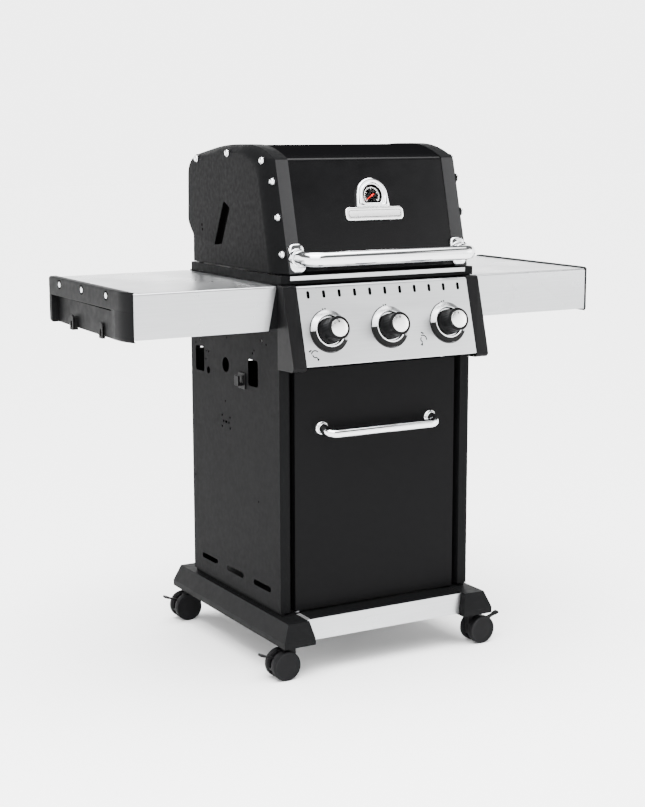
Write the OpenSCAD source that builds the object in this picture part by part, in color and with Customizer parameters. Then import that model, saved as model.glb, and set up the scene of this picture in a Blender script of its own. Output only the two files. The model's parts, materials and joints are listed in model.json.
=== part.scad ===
// Three-burner gas barbecue grill on a cabinet cart, with fixed side shelves.
// Millimetres. +Z is up, +X is to the user's right, and the user stands on the -Y side.
// The cart is drawn about the cabinet's own centre line, and cart() then moves it along Y
// so that the middle of the whole grill's footprint is at the origin.

/* [Overall] */
// Width over the shelf end caps
overall_w = 1270; // [1240:1:1300]
// Height of the side shelves' top face
shelf_z = 912.4; // [911:0.1:913]
// Distance that the cabinet's centre stands behind the middle of the footprint
cart_y = 18.24; // [18:0.01:19]

/* [Cabinet] */
// Width over the side panels
cabinet_w = 524; // [522:1:526]
// Depth over the side panels
cabinet_d = 470; // [468:1:472]
// Height of the side panels' lower edge
cabinet_z = 144.5; // [144:0.5:145]
// Thickness of the folded sheet steel
sheet = 1.5; // [1.2:0.1:1.5]

/* [Base] */
// Length of the moulded side rails
rail_len = 613; // [608:1:616]
// Height of the rails' lower face
rail_z = 81.5; // [81:0.5:83]
// Height of the rails' top face
rail_top = 136.3; // [136:0.1:136.5]

/* [Casters] */
// Diameter of each twin wheel
wheel_d = 70; // [68:1:70]
// Distance from the swivel to the wheel's axle
caster_trail = 22; // [20:1:24]
// Distance of each swivel from the cabinet's centre, along X
caster_x = 253; // [250:1:255]
// Distance of each swivel from the cabinet's centre, along Y
caster_y = 267; // [262:1:268]

/* [Control panel] */
// Lean of the control panel away from vertical
panel_tilt = 15.48; // [15:0.01:16]
// Length of the control panel's face, up the slope
panel_len = 188.9; // [186:0.1:190]
// Spacing of the three knobs
knob_pitch = 161.6; // [158:0.1:163]
// Diameter of a knob
knob_d = 54; // [50:1:56]
// Travel of a knob when it is pushed in
knob_push = 3; // [2:0.5:3]

/* [Lid] */
// Height of the lid's lower edge
lid_z = 942; // [941:0.5:943]
// Diameter of the lid handle's tube
lid_handle_d = 34; // [30:1:36]

/* [Door] */
// Width of the door
door_w = 442; // [436:1:444]
// Height of the door's top edge
door_top = 716; // [700:1:717]
// Diameter of the door handle's tube
door_handle_d = 22.5; // [18:0.5:24]

/* [Hidden] */

$fn = 48;
// Radial clearance of every running fit
fit = 0.05;
// Gap left between neighbouring pieces that don't touch
gap = 0.3;
// Overlap that lets one cut pass cleanly through a face
cut = 1;

// Cabinet
side_x = cabinet_w / 2;
front_y = -cabinet_d / 2;
back_y = cabinet_d / 2;
side_top = 915;
flange_x = 236.5;
jamb_y = -204.5;
inner_x = side_x - sheet;
back_panel_top = 716;
bottle_hole_r = 140;

// Base
rail_in = 208.4;
rail_out = 290.8;
rail_band_z = 102.2;
rail_end_slope = 11.5;
rail_top_in = 218.7;
rail_top_out = 273.9;
trim_top_z = 135;
trim_bottom_z = 86;
trim_top_y = -280;
trim_bottom_y = -286.5;

// Casters
wheel_r = wheel_d / 2;
wheel_t = 16;
hood_half = 8.7;
wheel_in = hood_half + gap;
stem_r = 5.5;
stem_top = rail_z + 24;
axle_r = 4;
pedal_x = -40;
pedal_z = 50;

// Firebox
rim_top = 935;
rim_bottom = 915;
lip_top = 939.5;
rim_front = -245;
rim_back = 227;
box_x = 240;
box_front = -215;
box_back = 200;
wall = 4;
hopper_top = 790;
throat_bottom = 757;
grid_ledge_z = 882;
tent_ledge_z = 838;
burner_z = 806;
burner_r = 12;
hinge_y = 183;
hinge_z = 1020;
hinge_pin_r = 4;

// Control panel
panel_x = 231;
panel_y0 = -310.4;
panel_z0 = 733;
knob_v = 79.5;
knob_xs = [-knob_pitch, 0, knob_pitch];
inlet_x = 223;
inlet_z = 772;
spindle_r = 4;
spindle_tip = 34;

// Shelves
shelf_in = 267.7;
shelf_cap_t = 20;
shelf_out = overall_w / 2 - shelf_cap_t;
shelf_front = -234;
shelf_back = 244;
shelf_skirt = 101.6;
shelf_bolt_ys = [166.6, 25, -122];
shelf_hook_ys = [96.5, -84];

// Lid: outline of the hood seen from the side, as [y, z, corner radius]
lid_corners = [
    [-246, lid_z, 0], [-181, 1193, 12], [-105, 1223.5, 300], [60, 1223.5, 900],
    [236, 1196, 45], [235, 1036, 25], [202, 1003, 12], [202, lid_z, 0]
];
// Outline of an end cap's flat side face, inside its soft border
lid_face_corners = [
    [-196, lid_z, 0], [-137, 1172, 45], [-75, 1203, 200], [50, 1203, 500],
    [226, 1184, 40], [232, 1036, 25], [202, 1003, 12], [202, lid_z, 0]
];
// Seats of the cap nuts on each end cap, as [x, y, z]
lid_nuts = [
    [246, -223.7, 981.5], [245.5, -206, 1064], [246, -182, 1144],
    [252, -139, 1190], [255, 22, 1204], [256, 190.5, 1188]
];
lid_nut_r = 9;
lid_mount_x = 219;
lid_handle_y = -308;
lid_handle_z = 974;
lid_tilt = atan2(65, 251);
hood_x = 209;
cap_x = 266.4;
cap_wall = 3;
cap_edge_x = 243;
cap_proud = 2;
hood_t = 1.5;
dial_v = 170;
dial_r = 25.8;
dial_low = 23.8;
badge_v = 128;

// Door
door_bottom = 143;
door_front = -232;
door_t = 18;
door_x = door_w / 2;
door_pin_x = -(door_x - 10);
door_pin_y = -222;
door_pin_r = 3;
door_boss_x = 150;
door_boss_z = 576;
door_droop = 17;

// ---- Paths and placing ----

function unit(v) = v / norm(v);

// Points of the arc that rounds corner c, between neighbours p and n, with radius r.
function corner_arc(p, c, n, r, steps) =
    let (
        a = unit(p - c), b = unit(n - c), half = acos(a * b) / 2,
        s = c + a * r / tan(half), e = c + b * r / tan(half),
        o = c + unit(a + b) * r / sin(half),
        start = atan2(s.y - o.y, s.x - o.x), end = atan2(e.y - o.y, e.x - o.x),
        sweep = (end - start + 540) % 360 - 180
    )
    [for (i = [0:steps]) o + r * [cos(start + sweep * i / steps), sin(start + sweep * i / steps)]];

// A path through corners given as [x, y, radius]; radius 0 stays sharp.
function rounded_path(c, steps = 4) = [
    for (i = [0:len(c) - 1])
        let (here = [c[i].x, c[i].y])
            each (
                c[i].z == 0 ? [here]
                : corner_arc([c[i - 1].x, c[i - 1].y], here, [c[i + 1].x, c[i + 1].y], c[i].z, steps)
            )
];

function left_normal(a, b) = let (d = unit(b - a)) [-d.y, d.x];

// The path moved sideways by w, to its left.
function shifted_path(p, w) = [
    for (i = [0:len(p) - 1])
        let (
            last = len(p) - 1,
            n1 = left_normal(p[max(i - 1, 0)], p[max(i, 1)]),
            n2 = left_normal(p[min(i, last - 1)], p[min(i + 1, last)]),
            m = unit(n1 + n2)
        )
            p[i] + m * w / (m * n1)
];

function reversed(p) = [for (i = [len(p) - 1:-1:0]) p[i]];

// A strip of thickness t to the right of a path.
function strip(p, t) = concat(p, reversed(shifted_path(p, -t)));

module cart() {
    translate([0, cart_y, 0]) children();
}

// Draws a (y, z) outline from x0 to x1.
module along_x(x0, x1) {
    translate([x0, 0, 0]) rotate([90, 0, 90]) linear_extrude(x1 - x0) children();
}

// Draws an (x, z) outline from y0 to y1.
module along_y(y0, y1) {
    translate([0, y1, 0]) rotate([90, 0, 0]) linear_extrude(y1 - y0) children();
}

// A box from its lowest corner to its highest.
module block(low, high) {
    translate(low) cube(high - low);
}

module rod_x(p, r, l) {
    translate(p) rotate([0, 90, 0]) cylinder(r = r, h = l);
}

module rod_y(p, r, l) {
    translate(p) rotate([-90, 0, 0]) cylinder(r = r, h = l);
}

module both_sides() {
    children();
    mirror([1, 0, 0]) children();
}

module only_side(side) {
    if (side < 0) mirror([1, 0, 0]) children();
    else children();
}

module rounded_rect(w, h, r) {
    square([w - 2 * r, h], center = true);
    square([w, h - 2 * r], center = true);
    for (x = [-1, 1], y = [-1, 1]) translate([x * (w / 2 - r), y * (h / 2 - r)]) circle(r);
}

// Frame on the control panel's face: x across, y up the slope, z outwards.
module on_panel(v = 0) {
    translate([0, panel_y0, panel_z0]) rotate([90 - panel_tilt, 0, 0]) translate([0, v, 0]) children();
}

// Frame on the lid's front face, in the same way.
module on_lid(v = 0) {
    translate([0, -246, lid_z]) rotate([90 - lid_tilt, 0, 0]) translate([0, v, 0]) children();
}

// A chrome cap nut with a domed head, standing on z = 0.
module cap_nut(r = 9, h = 7) {
    cylinder(r = r, h = 2.5);
    intersection() {
        translate([0, 0, h - 12]) sphere(r = 12);
        translate([0, 0, 2]) cylinder(r = r - 0.5, h = h);
    }
}

// A handle's tube: straight middle, a quarter bend at each end, and legs that run back along +Y.
module bent_tube(half, r, bend, leg) {
    rod_x([-(half - bend), 0, 0], r, 2 * (half - bend));
    for (s = [-1, 1])
        only_side(s) {
            translate([half - bend, bend, 0]) rotate([0, 0, -90]) rotate_extrude(angle = 90)
                translate([bend, 0]) circle(r);
            rod_y([half, bend, 0], r, leg - bend);
        }
}

// ---- Base ----

module base_rail(side) {
    half = rail_len / 2;
    cart() color([0.13, 0.13, 0.14]) only_side(side) difference() {
        hull() {
            block([rail_in, -half, rail_z], [rail_out, half, rail_band_z - 6]);
            block([rail_in + 2, -half + 3, rail_z], [rail_out - 2.5, half - 3, rail_band_z]);
            block(
                [rail_top_in, -half + rail_end_slope, rail_z],
                [rail_top_out, half - rail_end_slope, rail_top]
            );
        }
        // moulding pocket underneath, between the caster sockets
        block([rail_in + 8, -210, rail_z - cut], [rail_out - 11, 210, rail_z + 34]);
        for (y = [-caster_y, caster_y])
            translate([caster_x, y, rail_z - cut]) cylinder(r = stem_r, h = 26 + cut);
    }
}

module base_rail_left() { base_rail(-1); }
module base_rail_right() { base_rail(1); }

module base_trim() {
    lean = atan2(trim_top_y - trim_bottom_y, trim_top_z - trim_bottom_z);
    rise = norm([trim_top_y - trim_bottom_y, trim_top_z - trim_bottom_z]);
    top_half = rail_top_in - 1;
    bottom_half = rail_in - gap;
    cart() color([0.78, 0.79, 0.8])
        translate([0, trim_bottom_y, trim_bottom_z]) rotate([90 - lean, 0, 0]) {
            translate([0, 0, -sheet]) linear_extrude(sheet) polygon([
                [-bottom_half, 0], [bottom_half, 0], [bottom_half, 12],
                [top_half, rise], [-top_half, rise], [-bottom_half, 12]
            ]);
            block([-bottom_half, 0, -14], [bottom_half, sheet, -sheet]);
        }
}

module base_shelf() {
    half = side_x - 4;
    pan_y0 = trim_top_y + 3;
    pan_y1 = rail_len / 2 - 16;
    cart() color([0.1, 0.1, 0.11]) {
        difference() {
            union() {
                block([-half, front_y + 4, rail_top], [half, back_y - 4, rail_top + sheet]);
                block([-rail_in + gap, pan_y0, rail_top], [rail_in - gap, pan_y1, rail_top + sheet]);
            }
            // round hole that the gas bottle's foot stands in
            translate([0, 0, rail_top - cut]) cylinder(r = bottle_hole_r, h = sheet + 2 * cut);
        }
        for (y = [pan_y0, pan_y1 - sheet])
            block([-rail_in + gap, y, 92], [rail_in - gap, y + sheet, rail_top]);
        // raised edges that the side panels stand on
        both_sides() block([half - 10, front_y + 4, rail_top], [half, back_y - 4, cabinet_z]);
    }
}

// The wheel carrier of a caster, about its swivel: the wheels trail towards -X.
module caster_hood_shape() {
    axle_x = -caster_trail;
    color([0.15, 0.15, 0.16]) difference() {
        union() {
            translate([0, 0, 71]) cylinder(r = 13, h = rail_z - gap - 71);
            translate([0, 0, 70]) cylinder(r = stem_r - fit, h = stem_top - 70);
            intersection() {
                rod_y([axle_x, -hood_half, wheel_r], wheel_r - 2, 2 * hood_half);
                block([axle_x - 40, -hood_half, 24], [13, hood_half, 80]);
            }
            block([axle_x, -hood_half, 45], [8.5, hood_half, 72]);
        }
        rod_y([axle_x, -hood_half - cut, wheel_r], axle_r + fit, 2 * hood_half + 2 * cut);
        // slot for the brake pedal, and its pivot
        block([axle_x - 40, -5.3, 30], [axle_x - 9, 5.3, 80]);
        rod_y([pedal_x, -hood_half - cut, pedal_z], 2 + fit, 2 * hood_half + 2 * cut);
    }
}

module caster_wheels_shape() {
    color([0.17, 0.17, 0.18]) translate([-caster_trail, 0, wheel_r]) rotate([90, 0, 0]) {
        cylinder(r = axle_r, h = 2 * (wheel_in + 2), center = true);
        for (s = [0, 1]) mirror([0, 0, s]) rotate_extrude() polygon([
            [0, wheel_in], [wheel_r - 2, wheel_in], [wheel_r, wheel_in + 2],
            [wheel_r, wheel_in + wheel_t - 3], [wheel_r - 3, wheel_in + wheel_t],
            [wheel_r - 8, wheel_in + wheel_t], [wheel_r - 9, wheel_in + wheel_t - 1.5],
            [0, wheel_in + wheel_t - 1.5]
        ]);
    }
}

module brake_pedal_shape() {
    color([0.2, 0.2, 0.21]) translate([pedal_x, 0, pedal_z]) {
        rod_y([0, -hood_half, 0], 2, 2 * hood_half);
        rotate([0, 21, 0]) {
            rod_y([0, -5, 0], 4, 10);
            block([-46, -5, -2.2], [0, 5, 2.2]);
            block([-46, -6.5, -2.6], [-34, 6.5, 2.8]);
        }
    }
}

// Places a caster piece at one corner, with the wheels trailing outwards.
module at_caster(x_side, y_side) {
    cart() translate([x_side * caster_x, y_side * caster_y, 0])
        rotate([0, 0, x_side < 0 ? 0 : 180]) children();
}

module caster_hood_fl() { at_caster(-1, -1) caster_hood_shape(); }
module caster_hood_fr() { at_caster(1, -1) caster_hood_shape(); }
module caster_hood_bl() { at_caster(-1, 1) caster_hood_shape(); }
module caster_hood_br() { at_caster(1, 1) caster_hood_shape(); }
module caster_wheels_fl() { at_caster(-1, -1) caster_wheels_shape(); }
module caster_wheels_fr() { at_caster(1, -1) caster_wheels_shape(); }
module caster_wheels_bl() { at_caster(-1, 1) caster_wheels_shape(); }
module caster_wheels_br() { at_caster(1, 1) caster_wheels_shape(); }
module brake_pedal_fl() { at_caster(-1, -1) brake_pedal_shape(); }
module brake_pedal_fr() { at_caster(1, -1) brake_pedal_shape(); }
module brake_pedal_bl() { at_caster(-1, 1) brake_pedal_shape(); }
module brake_pedal_br() { at_caster(1, 1) brake_pedal_shape(); }

// ---- Cabinet ----

// A hole through the side panel, drawn from outside it at (y, z).
module side_hole(y, z, r) {
    rod_x([inner_x - cut, y, z], r, sheet + 2 * cut);
}

module side_window(y0, y1, z0, z1, r) {
    translate([0, (y0 + y1) / 2, (z0 + z1) / 2]) along_x(inner_x - cut, side_x + cut)
        rounded_rect(y1 - y0, z1 - z0, r);
}

module side_cutouts() {
    side_window(160, 209, 665, 727, 8);
    side_window(-129, -79, 664, 727, 8);
    side_hole(40, 698, 18);
    side_hole(137, 672, 9);
    for (y = [-142, 0, 142]) side_window(y - 44, y + 44, 182.5, 195.5, 6.4);
    for (p = [[183, 744], [134, 719], [149, 719], [150, 698], [-148, 777], [-103, 743]])
        side_hole(p.x, p.y, 2.6);
    for (y = [20, 63], z = [543.5, 570.5]) side_hole(y, z, 3);
    for (y = [26, 40, 55]) side_hole(y, 557, 3.4);
}

module side_panel(side) {
    runner_x = 178;
    runner_z = 749;
    cart() color([0.2, 0.2, 0.21]) only_side(side) {
        difference() {
            union() {
                block([inner_x, front_y, cabinet_z], [side_x, back_y, side_top]);
                block([flange_x, front_y, cabinet_z], [side_x, front_y + sheet, side_top]);
                block([flange_x, back_y - sheet, cabinet_z], [side_x, back_y, side_top]);
                // jamb that the door closes in front of
                block([flange_x, front_y, cabinet_z], [flange_x + sheet, jamb_y, door_top]);
                block([205, jamb_y - sheet, cabinet_z], [flange_x + sheet, jamb_y, door_top]);
                block([244, front_y, cabinet_z], [side_x, back_y, cabinet_z + sheet]);
            }
            side_cutouts();
        }
        // welded runner that carries the grease tray
        block([runner_x, -150, runner_z], [inner_x, 228, runner_z + sheet]);
        block([runner_x, -150, runner_z - 8], [runner_x + sheet, 228, runner_z + sheet]);
    }
}

module side_panel_left() { side_panel(-1); }
module side_panel_right() { side_panel(1); }

module back_panel() {
    back_in = back_y - sheet;
    half = inner_x - gap;
    cart() color([0.12, 0.12, 0.13]) {
        difference() {
            block([-half, back_in - sheet, cabinet_z + sheet], [half, back_in, back_panel_top]);
            for (x = [-150:60:150]) translate([x, 0, 330]) rear_slot(12, 90, back_in);
            for (x = [-115, 0, 115]) translate([x, 0, 678.5]) rear_slot(66, 13, back_in);
        }
        block([-half, back_in - 14, back_panel_top - sheet], [half, back_in - sheet, back_panel_top]);
    }
}

// A slot through the back panel.
module rear_slot(w, h, y) {
    translate([0, y + cut, 0]) rotate([90, 0, 0]) linear_extrude(sheet + 2 * cut)
        rounded_rect(w, h, min(w, h) / 2 - 0.1);
}

module front_rail() {
    rail_low = door_top + 6;
    rail_y = front_y + sheet;
    half = inner_x - gap;
    cart() color([0.12, 0.12, 0.13]) {
        block([-half, rail_y, rail_low], [half, rail_y + sheet, rail_low + 38]);
        block([-half, rail_y, rail_low], [half, rail_y + 28, rail_low + sheet]);
        block([-half, rail_y, rail_low + 38 - sheet], [half, rail_y + 28, rail_low + 38]);
        // magnet catch that holds the door shut
        block([166, door_front + door_t + 0.5, rail_low - 22], [194, -200, rail_low]);
    }
}

module hinge_pins() {
    cart() color([0.55, 0.55, 0.57]) {
        both_sides() {
            rod_x([249, hinge_y, hinge_z], 7, 2.7);
            rod_x([251, hinge_y, hinge_z], hinge_pin_r, cap_x - 0.4 - 251);
        }
        translate([door_pin_x, door_pin_y, rail_top + sheet]) {
            cylinder(r = 6, h = 4.5);
            cylinder(r = door_pin_r, h = 16);
        }
        translate([door_pin_x, door_pin_y, door_top - 12]) cylinder(r = door_pin_r, h = 18);
        translate([door_pin_x, door_pin_y, door_top + 2]) cylinder(r = 6, h = 4);
    }
}

module hose_hook() {
    cart() color([0.1, 0.1, 0.11]) mirror([1, 0, 0]) {
        block([side_x, -66, 652], [side_x + 2.5, -30, 690]);
        difference() {
            block([side_x, -58, 660], [side_x + 16, -38, 684]);
            block([side_x + 4, -59, 665], [side_x + 11, -37, 690]);
        }
    }
}

// ---- Cook box ----

module firebox() {
    cart() color([0.11, 0.11, 0.12]) difference() {
        union() {
            block([-side_x, rim_front, rim_bottom], [side_x, rim_back, rim_top]);
            block(
                [-box_x - wall, box_front - wall, hopper_top],
                [box_x + wall, box_back + wall, lip_top]
            );
            hull() {
                block(
                    [-box_x - wall, box_front - wall, hopper_top - 1],
                    [box_x + wall, box_back + wall, hopper_top]
                );
                block([-154, -64, throat_bottom + 4], [154, 44, throat_bottom + 5]);
            }
            block([-154, -64, throat_bottom], [154, 44, throat_bottom + 5]);
            // hinge ears that stand inside the lid's end caps
            both_sides() {
                block([252, hinge_y - 9, rim_top - 1], [257, hinge_y + 9, hinge_z]);
                rod_x([252, hinge_y, hinge_z], 12, 5);
            }
        }
        firebox_inside();
        both_sides() rod_x([251, hinge_y, hinge_z], hinge_pin_r + fit, 7);
        for (x = knob_xs) rod_y([x, box_front - wall - cut, burner_z], burner_r + 0.5, wall + 2 * cut);
        for (x = knob_xs) rod_y([x + 26, box_front - wall - cut, burner_z + 16], 4.3, wall + 2 * cut);
    }
}

module firebox_inside() {
    difference() {
        block([-box_x, box_front, hopper_top], [box_x, box_back, lip_top + cut]);
        // ledges that carry the grids, the heat tents and the burners' far ends
        difference() {
            block([-box_x - 1, box_front - 1, grid_ledge_z], [box_x + 1, box_back + 1, grid_ledge_z + 6]);
            block([-box_x + 9, box_front + 9, 800], [box_x - 9, box_back - 9, 900]);
        }
        for (y = [box_front - 1, box_back - 11])
            block([-box_x - 1, y, tent_ledge_z], [box_x + 1, y + 12, tent_ledge_z + 5]);
        block([-box_x - 1, box_back - 17, burner_z - 8], [box_x + 1, box_back + 1, burner_z - 3]);
    }
    hull() {
        block([-box_x, box_front, hopper_top], [box_x, box_back, hopper_top + 0.5]);
        block([-150, -60, throat_bottom + 9], [150, 40, throat_bottom + 9.5]);
    }
    block([-150, -60, throat_bottom - cut], [150, 40, throat_bottom + 12]);
}

module firebox_trim() {
    strip_z = 923.3;
    strip_h = 9.7;
    cart() color([0.8, 0.81, 0.82])
        block([-238.3, rim_front - sheet, strip_z], [238.3, rim_front, strip_z + strip_h]);
}

module burners() {
    front = front_y + 4;
    back = box_back - 8;
    cart() color([0.62, 0.6, 0.58]) for (x = knob_xs) translate([x, 0, burner_z]) {
        difference() {
            rod_y([0, front, 0], burner_r, back - front - 12);
            rod_y([0, front - cut, 0], burner_r - sheet, back - front - 12);
        }
        block([-8, back - 12.5, -3], [8, back, -1.5]);
    }
}

module igniter() {
    cart() color([0.88, 0.87, 0.83]) {
        block([-100, -262, 840], [-62, -242, 872]);
        for (x = knob_xs) {
            rod_y([x + 26, front_y + 2, burner_z + 16], 3.5, 40);
            rod_y([x + 26, front_y - 6, burner_z + 16], 1.2, 62);
        }
    }
}

module heat_tents() {
    half = 58;
    rise = 24;
    base = tent_ledge_z + 5;
    path = [[-half, base], [-half, base + 3], [0, base + 3 + rise], [half, base + 3], [half, base]];
    cart() color([0.5, 0.48, 0.46]) for (x = knob_xs)
        translate([x, 0, 0]) along_y(box_front + 4, box_back - 4)
            polygon(concat(path, reversed(shifted_path(path, -sheet))));
}

module cooking_grids() {
    bars = 12;
    x0 = 1;
    x1 = box_x - 4;
    y0 = box_front + 3;
    y1 = box_back - 3;
    z0 = grid_ledge_z + 6;
    pitch = (x1 - x0 - 7) / bars;
    cart() color([0.08, 0.08, 0.08]) both_sides() {
        for (i = [0:bars]) block([x0 + i * pitch, y0, z0], [x0 + i * pitch + 7, y1, z0 + 12]);
        for (y = [y0, (y0 + y1) / 2 - 4, y1 - 8]) block([x0, y, z0], [x1, y + 8, z0 + 9]);
    }
}

module warming_rack() {
    half = 248;
    y0 = 20;
    y1 = 132;
    z = 1026;
    r = 2.5;
    cart() color([0.7, 0.7, 0.71]) {
        for (y = [y0, y1]) rod_x([-half - 3, y, z], r, 2 * (half + 3));
        for (i = [0:18]) rod_y([-216 + i * 24, y0 - 4, z + 3], 1.6, y1 - y0 + 8);
        // loose legs that the rack rests on
        both_sides() for (y = [y0, y1])
            translate([half, y, rim_top]) cylinder(r = 3, h = z - r - fit - rim_top);
    }
}

// ---- Control panel and gas train ----

module control_panel() {
    fold = 14;
    // y (up the slope) against z (outwards), with rounded folds
    skin = rounded_path([[3, -fold, 0], [0, 0, 2.5], [panel_len, 0, 8], [panel_len - 4, -fold - 4, 0]]);
    cart() color([0.78, 0.79, 0.8]) difference() {
        on_panel() rotate([90, 0, 90]) translate([0, 0, -panel_x]) linear_extrude(2 * panel_x)
            polygon(concat(skin, reversed(shifted_path(skin, -sheet))));
        on_panel(knob_v) for (x = knob_xs) translate([x, 0, -3]) cylinder(r = 8, h = 6);
        on_panel(164.7) for (i = [-5:5])
            translate([i * 40.8, 0, -3]) linear_extrude(6) rounded_rect(5.6, 14, 2.79);
    }
}

module control_caps() {
    outer = [
        [front_y, 913.5, 0], [-261, 913.5, 8], [-311.5, 728, 9], [-303, 723, 4], [front_y, 721, 0]
    ];
    inner = [
        [front_y, 909, 0], [-258, 909, 4], [-307, 729.5, 5], [-303, 727, 2], [front_y, 725.5, 0]
    ];
    cap_in = panel_x + gap;
    cap_out = side_x + 3.6;
    cart() color([0.22, 0.22, 0.23]) both_sides() difference() {
        along_x(cap_in, cap_out) polygon(rounded_path(outer));
        along_x(cap_in - cut, cap_out - 3) polygon(rounded_path(inner));
    }
}

module knob_bezels() {
    cart() color([0.85, 0.85, 0.86]) on_panel(knob_v) for (x = knob_xs) translate([x, 0, 0])
        rotate_extrude() polygon([
            [8.5, 0], [46.5, 0], [46.5, 2], [41, 6], [34, 6], [32.5, 4.5], [32.5, 1.5], [8.5, 1.5]
        ]);
}

module gas_valves() {
    cart() color([0.75, 0.62, 0.35]) for (x = knob_xs) translate([x, 0, 0]) {
        difference() {
            union() {
                on_panel(knob_v) translate([0, 0, -33]) cylinder(r = 13, h = 24);
                block([-9, -268, 786.1], [9, -250, 806]);
                rod_y([0, -262, burner_z], 4.5, 36);
            }
            on_panel(knob_v) translate([0, 0, -31]) cylinder(r = spindle_r + fit, h = 24);
        }
    }
}

module gas_manifold() {
    cart() color([0.6, 0.6, 0.62]) {
        rod_x([-214, -259, 776], 10, 446);
        // inlet that the gas hose screws on, facing back into the cabinet
        rod_y([inlet_x, -259, inlet_z], 7.9, 37);
        translate([inlet_x, -243, inlet_z]) rotate([90, 0, 0]) cylinder(r = 9.5, h = 16, $fn = 6);
    }
}

module spindle(i) {
    cart() color([0.8, 0.68, 0.4]) on_panel(knob_v) translate([knob_xs[i], 0, -30])
        cylinder(r = spindle_r, h = 30 + spindle_tip);
}

module spindle_left() { spindle(0); }
module spindle_middle() { spindle(1); }
module spindle_right() { spindle(2); }

module knob(i) {
    r = knob_d / 2;
    cart() color([0.16, 0.16, 0.17]) on_panel(knob_v) translate([knob_xs[i], 0, 0]) difference() {
        rotate_extrude() polygon(rounded_path([
            [0, 6, 0], [30.5, 6, 0], [30.5, 9, 1.5], [r + 1, 14, 4], [r - 1, 28, 20], [r, 49, 2.5],
            [20.5, 49, 1], [20.5, 48, 0.4], [0, 50.5, 0]
        ]));
        translate([0, 0, 5]) cylinder(r = spindle_r + fit, h = spindle_tip + knob_push + 1 - 5);
    }
}

module knob_left() { knob(0); }
module knob_middle() { knob(1); }
module knob_right() { knob(2); }

// ---- Side shelves ----

module shelf(side) {
    profile = strip(rounded_path([
        [shelf_front, shelf_z - shelf_skirt, 0], [shelf_front, shelf_z, 6],
        [shelf_back, shelf_z, 6], [shelf_back, shelf_z - shelf_skirt, 0]
    ]), sheet);
    cart() color([0.75, 0.76, 0.77]) only_side(side) difference() {
        along_x(shelf_in, shelf_out) polygon(profile);
        // the skirts' inner ends lean away from the cabinet
        along_y(shelf_front - cut, shelf_back + cut) polygon([
            [shelf_in - cut, shelf_z - 8], [shelf_in, shelf_z - 8],
            [shelf_in + 20, shelf_z - shelf_skirt - cut], [shelf_in - cut, shelf_z - shelf_skirt - cut]
        ]);
    }
}

module shelf_left() { shelf(-1); }
module shelf_right() { shelf(1); }

module shelf_cap(side) {
    outer_x = overall_w / 2;
    front = shelf_front - 2;
    back = shelf_back + 2;
    top = shelf_z + 3;
    bottom = 806;
    plan = rounded_path([
        [shelf_out, front, 0], [shelf_out + 3, front, 0], [outer_x, front + 46, 60],
        [outer_x, back, 9], [shelf_out, back, 0]
    ], 6);
    cart() color([0.2, 0.2, 0.21]) only_side(side) {
        difference() {
            translate([0, 0, bottom]) linear_extrude(top - bottom) polygon(plan);
            // hollow back, open towards the shelf
            block([shelf_out - cut, front + 12, bottom + 3], [outer_x - 13, back - 4, top - 4]);
            // recessed lower face, stepped at its far end
            block([outer_x - 8, -161, bottom + 4], [outer_x + cut, 183, 870]);
            block([outer_x - 4, 182, bottom + 4], [outer_x + cut, 221, 870]);
            for (y = shelf_bolt_ys) rod_x([outer_x - 5, y, 902], 9, 5 + cut);
        }
        for (y = shelf_hook_ys) {
            block([outer_x - 13, y - 12, 801], [outer_x, y + 12, bottom + 5]);
            block([outer_x - 2, y - 8, bottom + 4], [outer_x, y + 8, 836]);
        }
    }
}

module shelf_cap_left() { shelf_cap(-1); }
module shelf_cap_right() { shelf_cap(1); }

module shelf_bolts() {
    cart() color([0.9, 0.9, 0.91]) both_sides() for (y = shelf_bolt_ys)
        translate([overall_w / 2 - 5, y, 902]) rotate([0, 90, 0]) cap_nut(7, 5);
}

module shelf_brackets() {
    top = shelf_z - sheet;
    low = 815;
    reach = 300;
    // room for the shelf's rounded fold
    inset = 6;
    cart() color([0.12, 0.12, 0.13]) both_sides() for (end = [-1, 1]) {
        skirt = end < 0 ? shelf_front + sheet : shelf_back - sheet;
        arm = end < 0 ? -190 : 190;
        block(
            [side_x, min(skirt, skirt - end * sheet), low],
            [reach, max(skirt, skirt - end * sheet), top - inset]
        );
        block([side_x, min(skirt, arm), low], [side_x + sheet, max(skirt, arm), top]);
        block(
            [side_x, min(skirt - end * inset, arm), top - sheet],
            [reach, max(skirt - end * inset, arm), top]
        );
    }
}

// ---- Lid ----

module lid_hood() {
    // the sheet follows the outline and ends on the slope above the hinge
    hood = rounded_path(concat([for (i = [0:5]) lid_corners[i]], [[222, 1023, 0]]));
    cart() color([0.1, 0.1, 0.11]) along_x(-hood_x + gap, hood_x - gap) polygon(strip(hood, hood_t));
}

// Solid form of an end cap, less a skin of the given thickness.
module lid_cap_form(skin) {
    rim = shifted_path(rounded_path(lid_corners), cap_proud - skin);
    face = shifted_path(rounded_path(lid_face_corners), -skin);
    intersection() {
        hull() {
            along_x(hood_x - (skin > 0 ? cut : 0), cap_edge_x - skin / 2) polygon(rim);
            along_x(cap_x - skin - 2, cap_x - skin) polygon(face);
        }
        block([0, -400, skin > 0 ? lid_z - cut : lid_z], [cap_x, 400, 1300]);
    }
}

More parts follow.
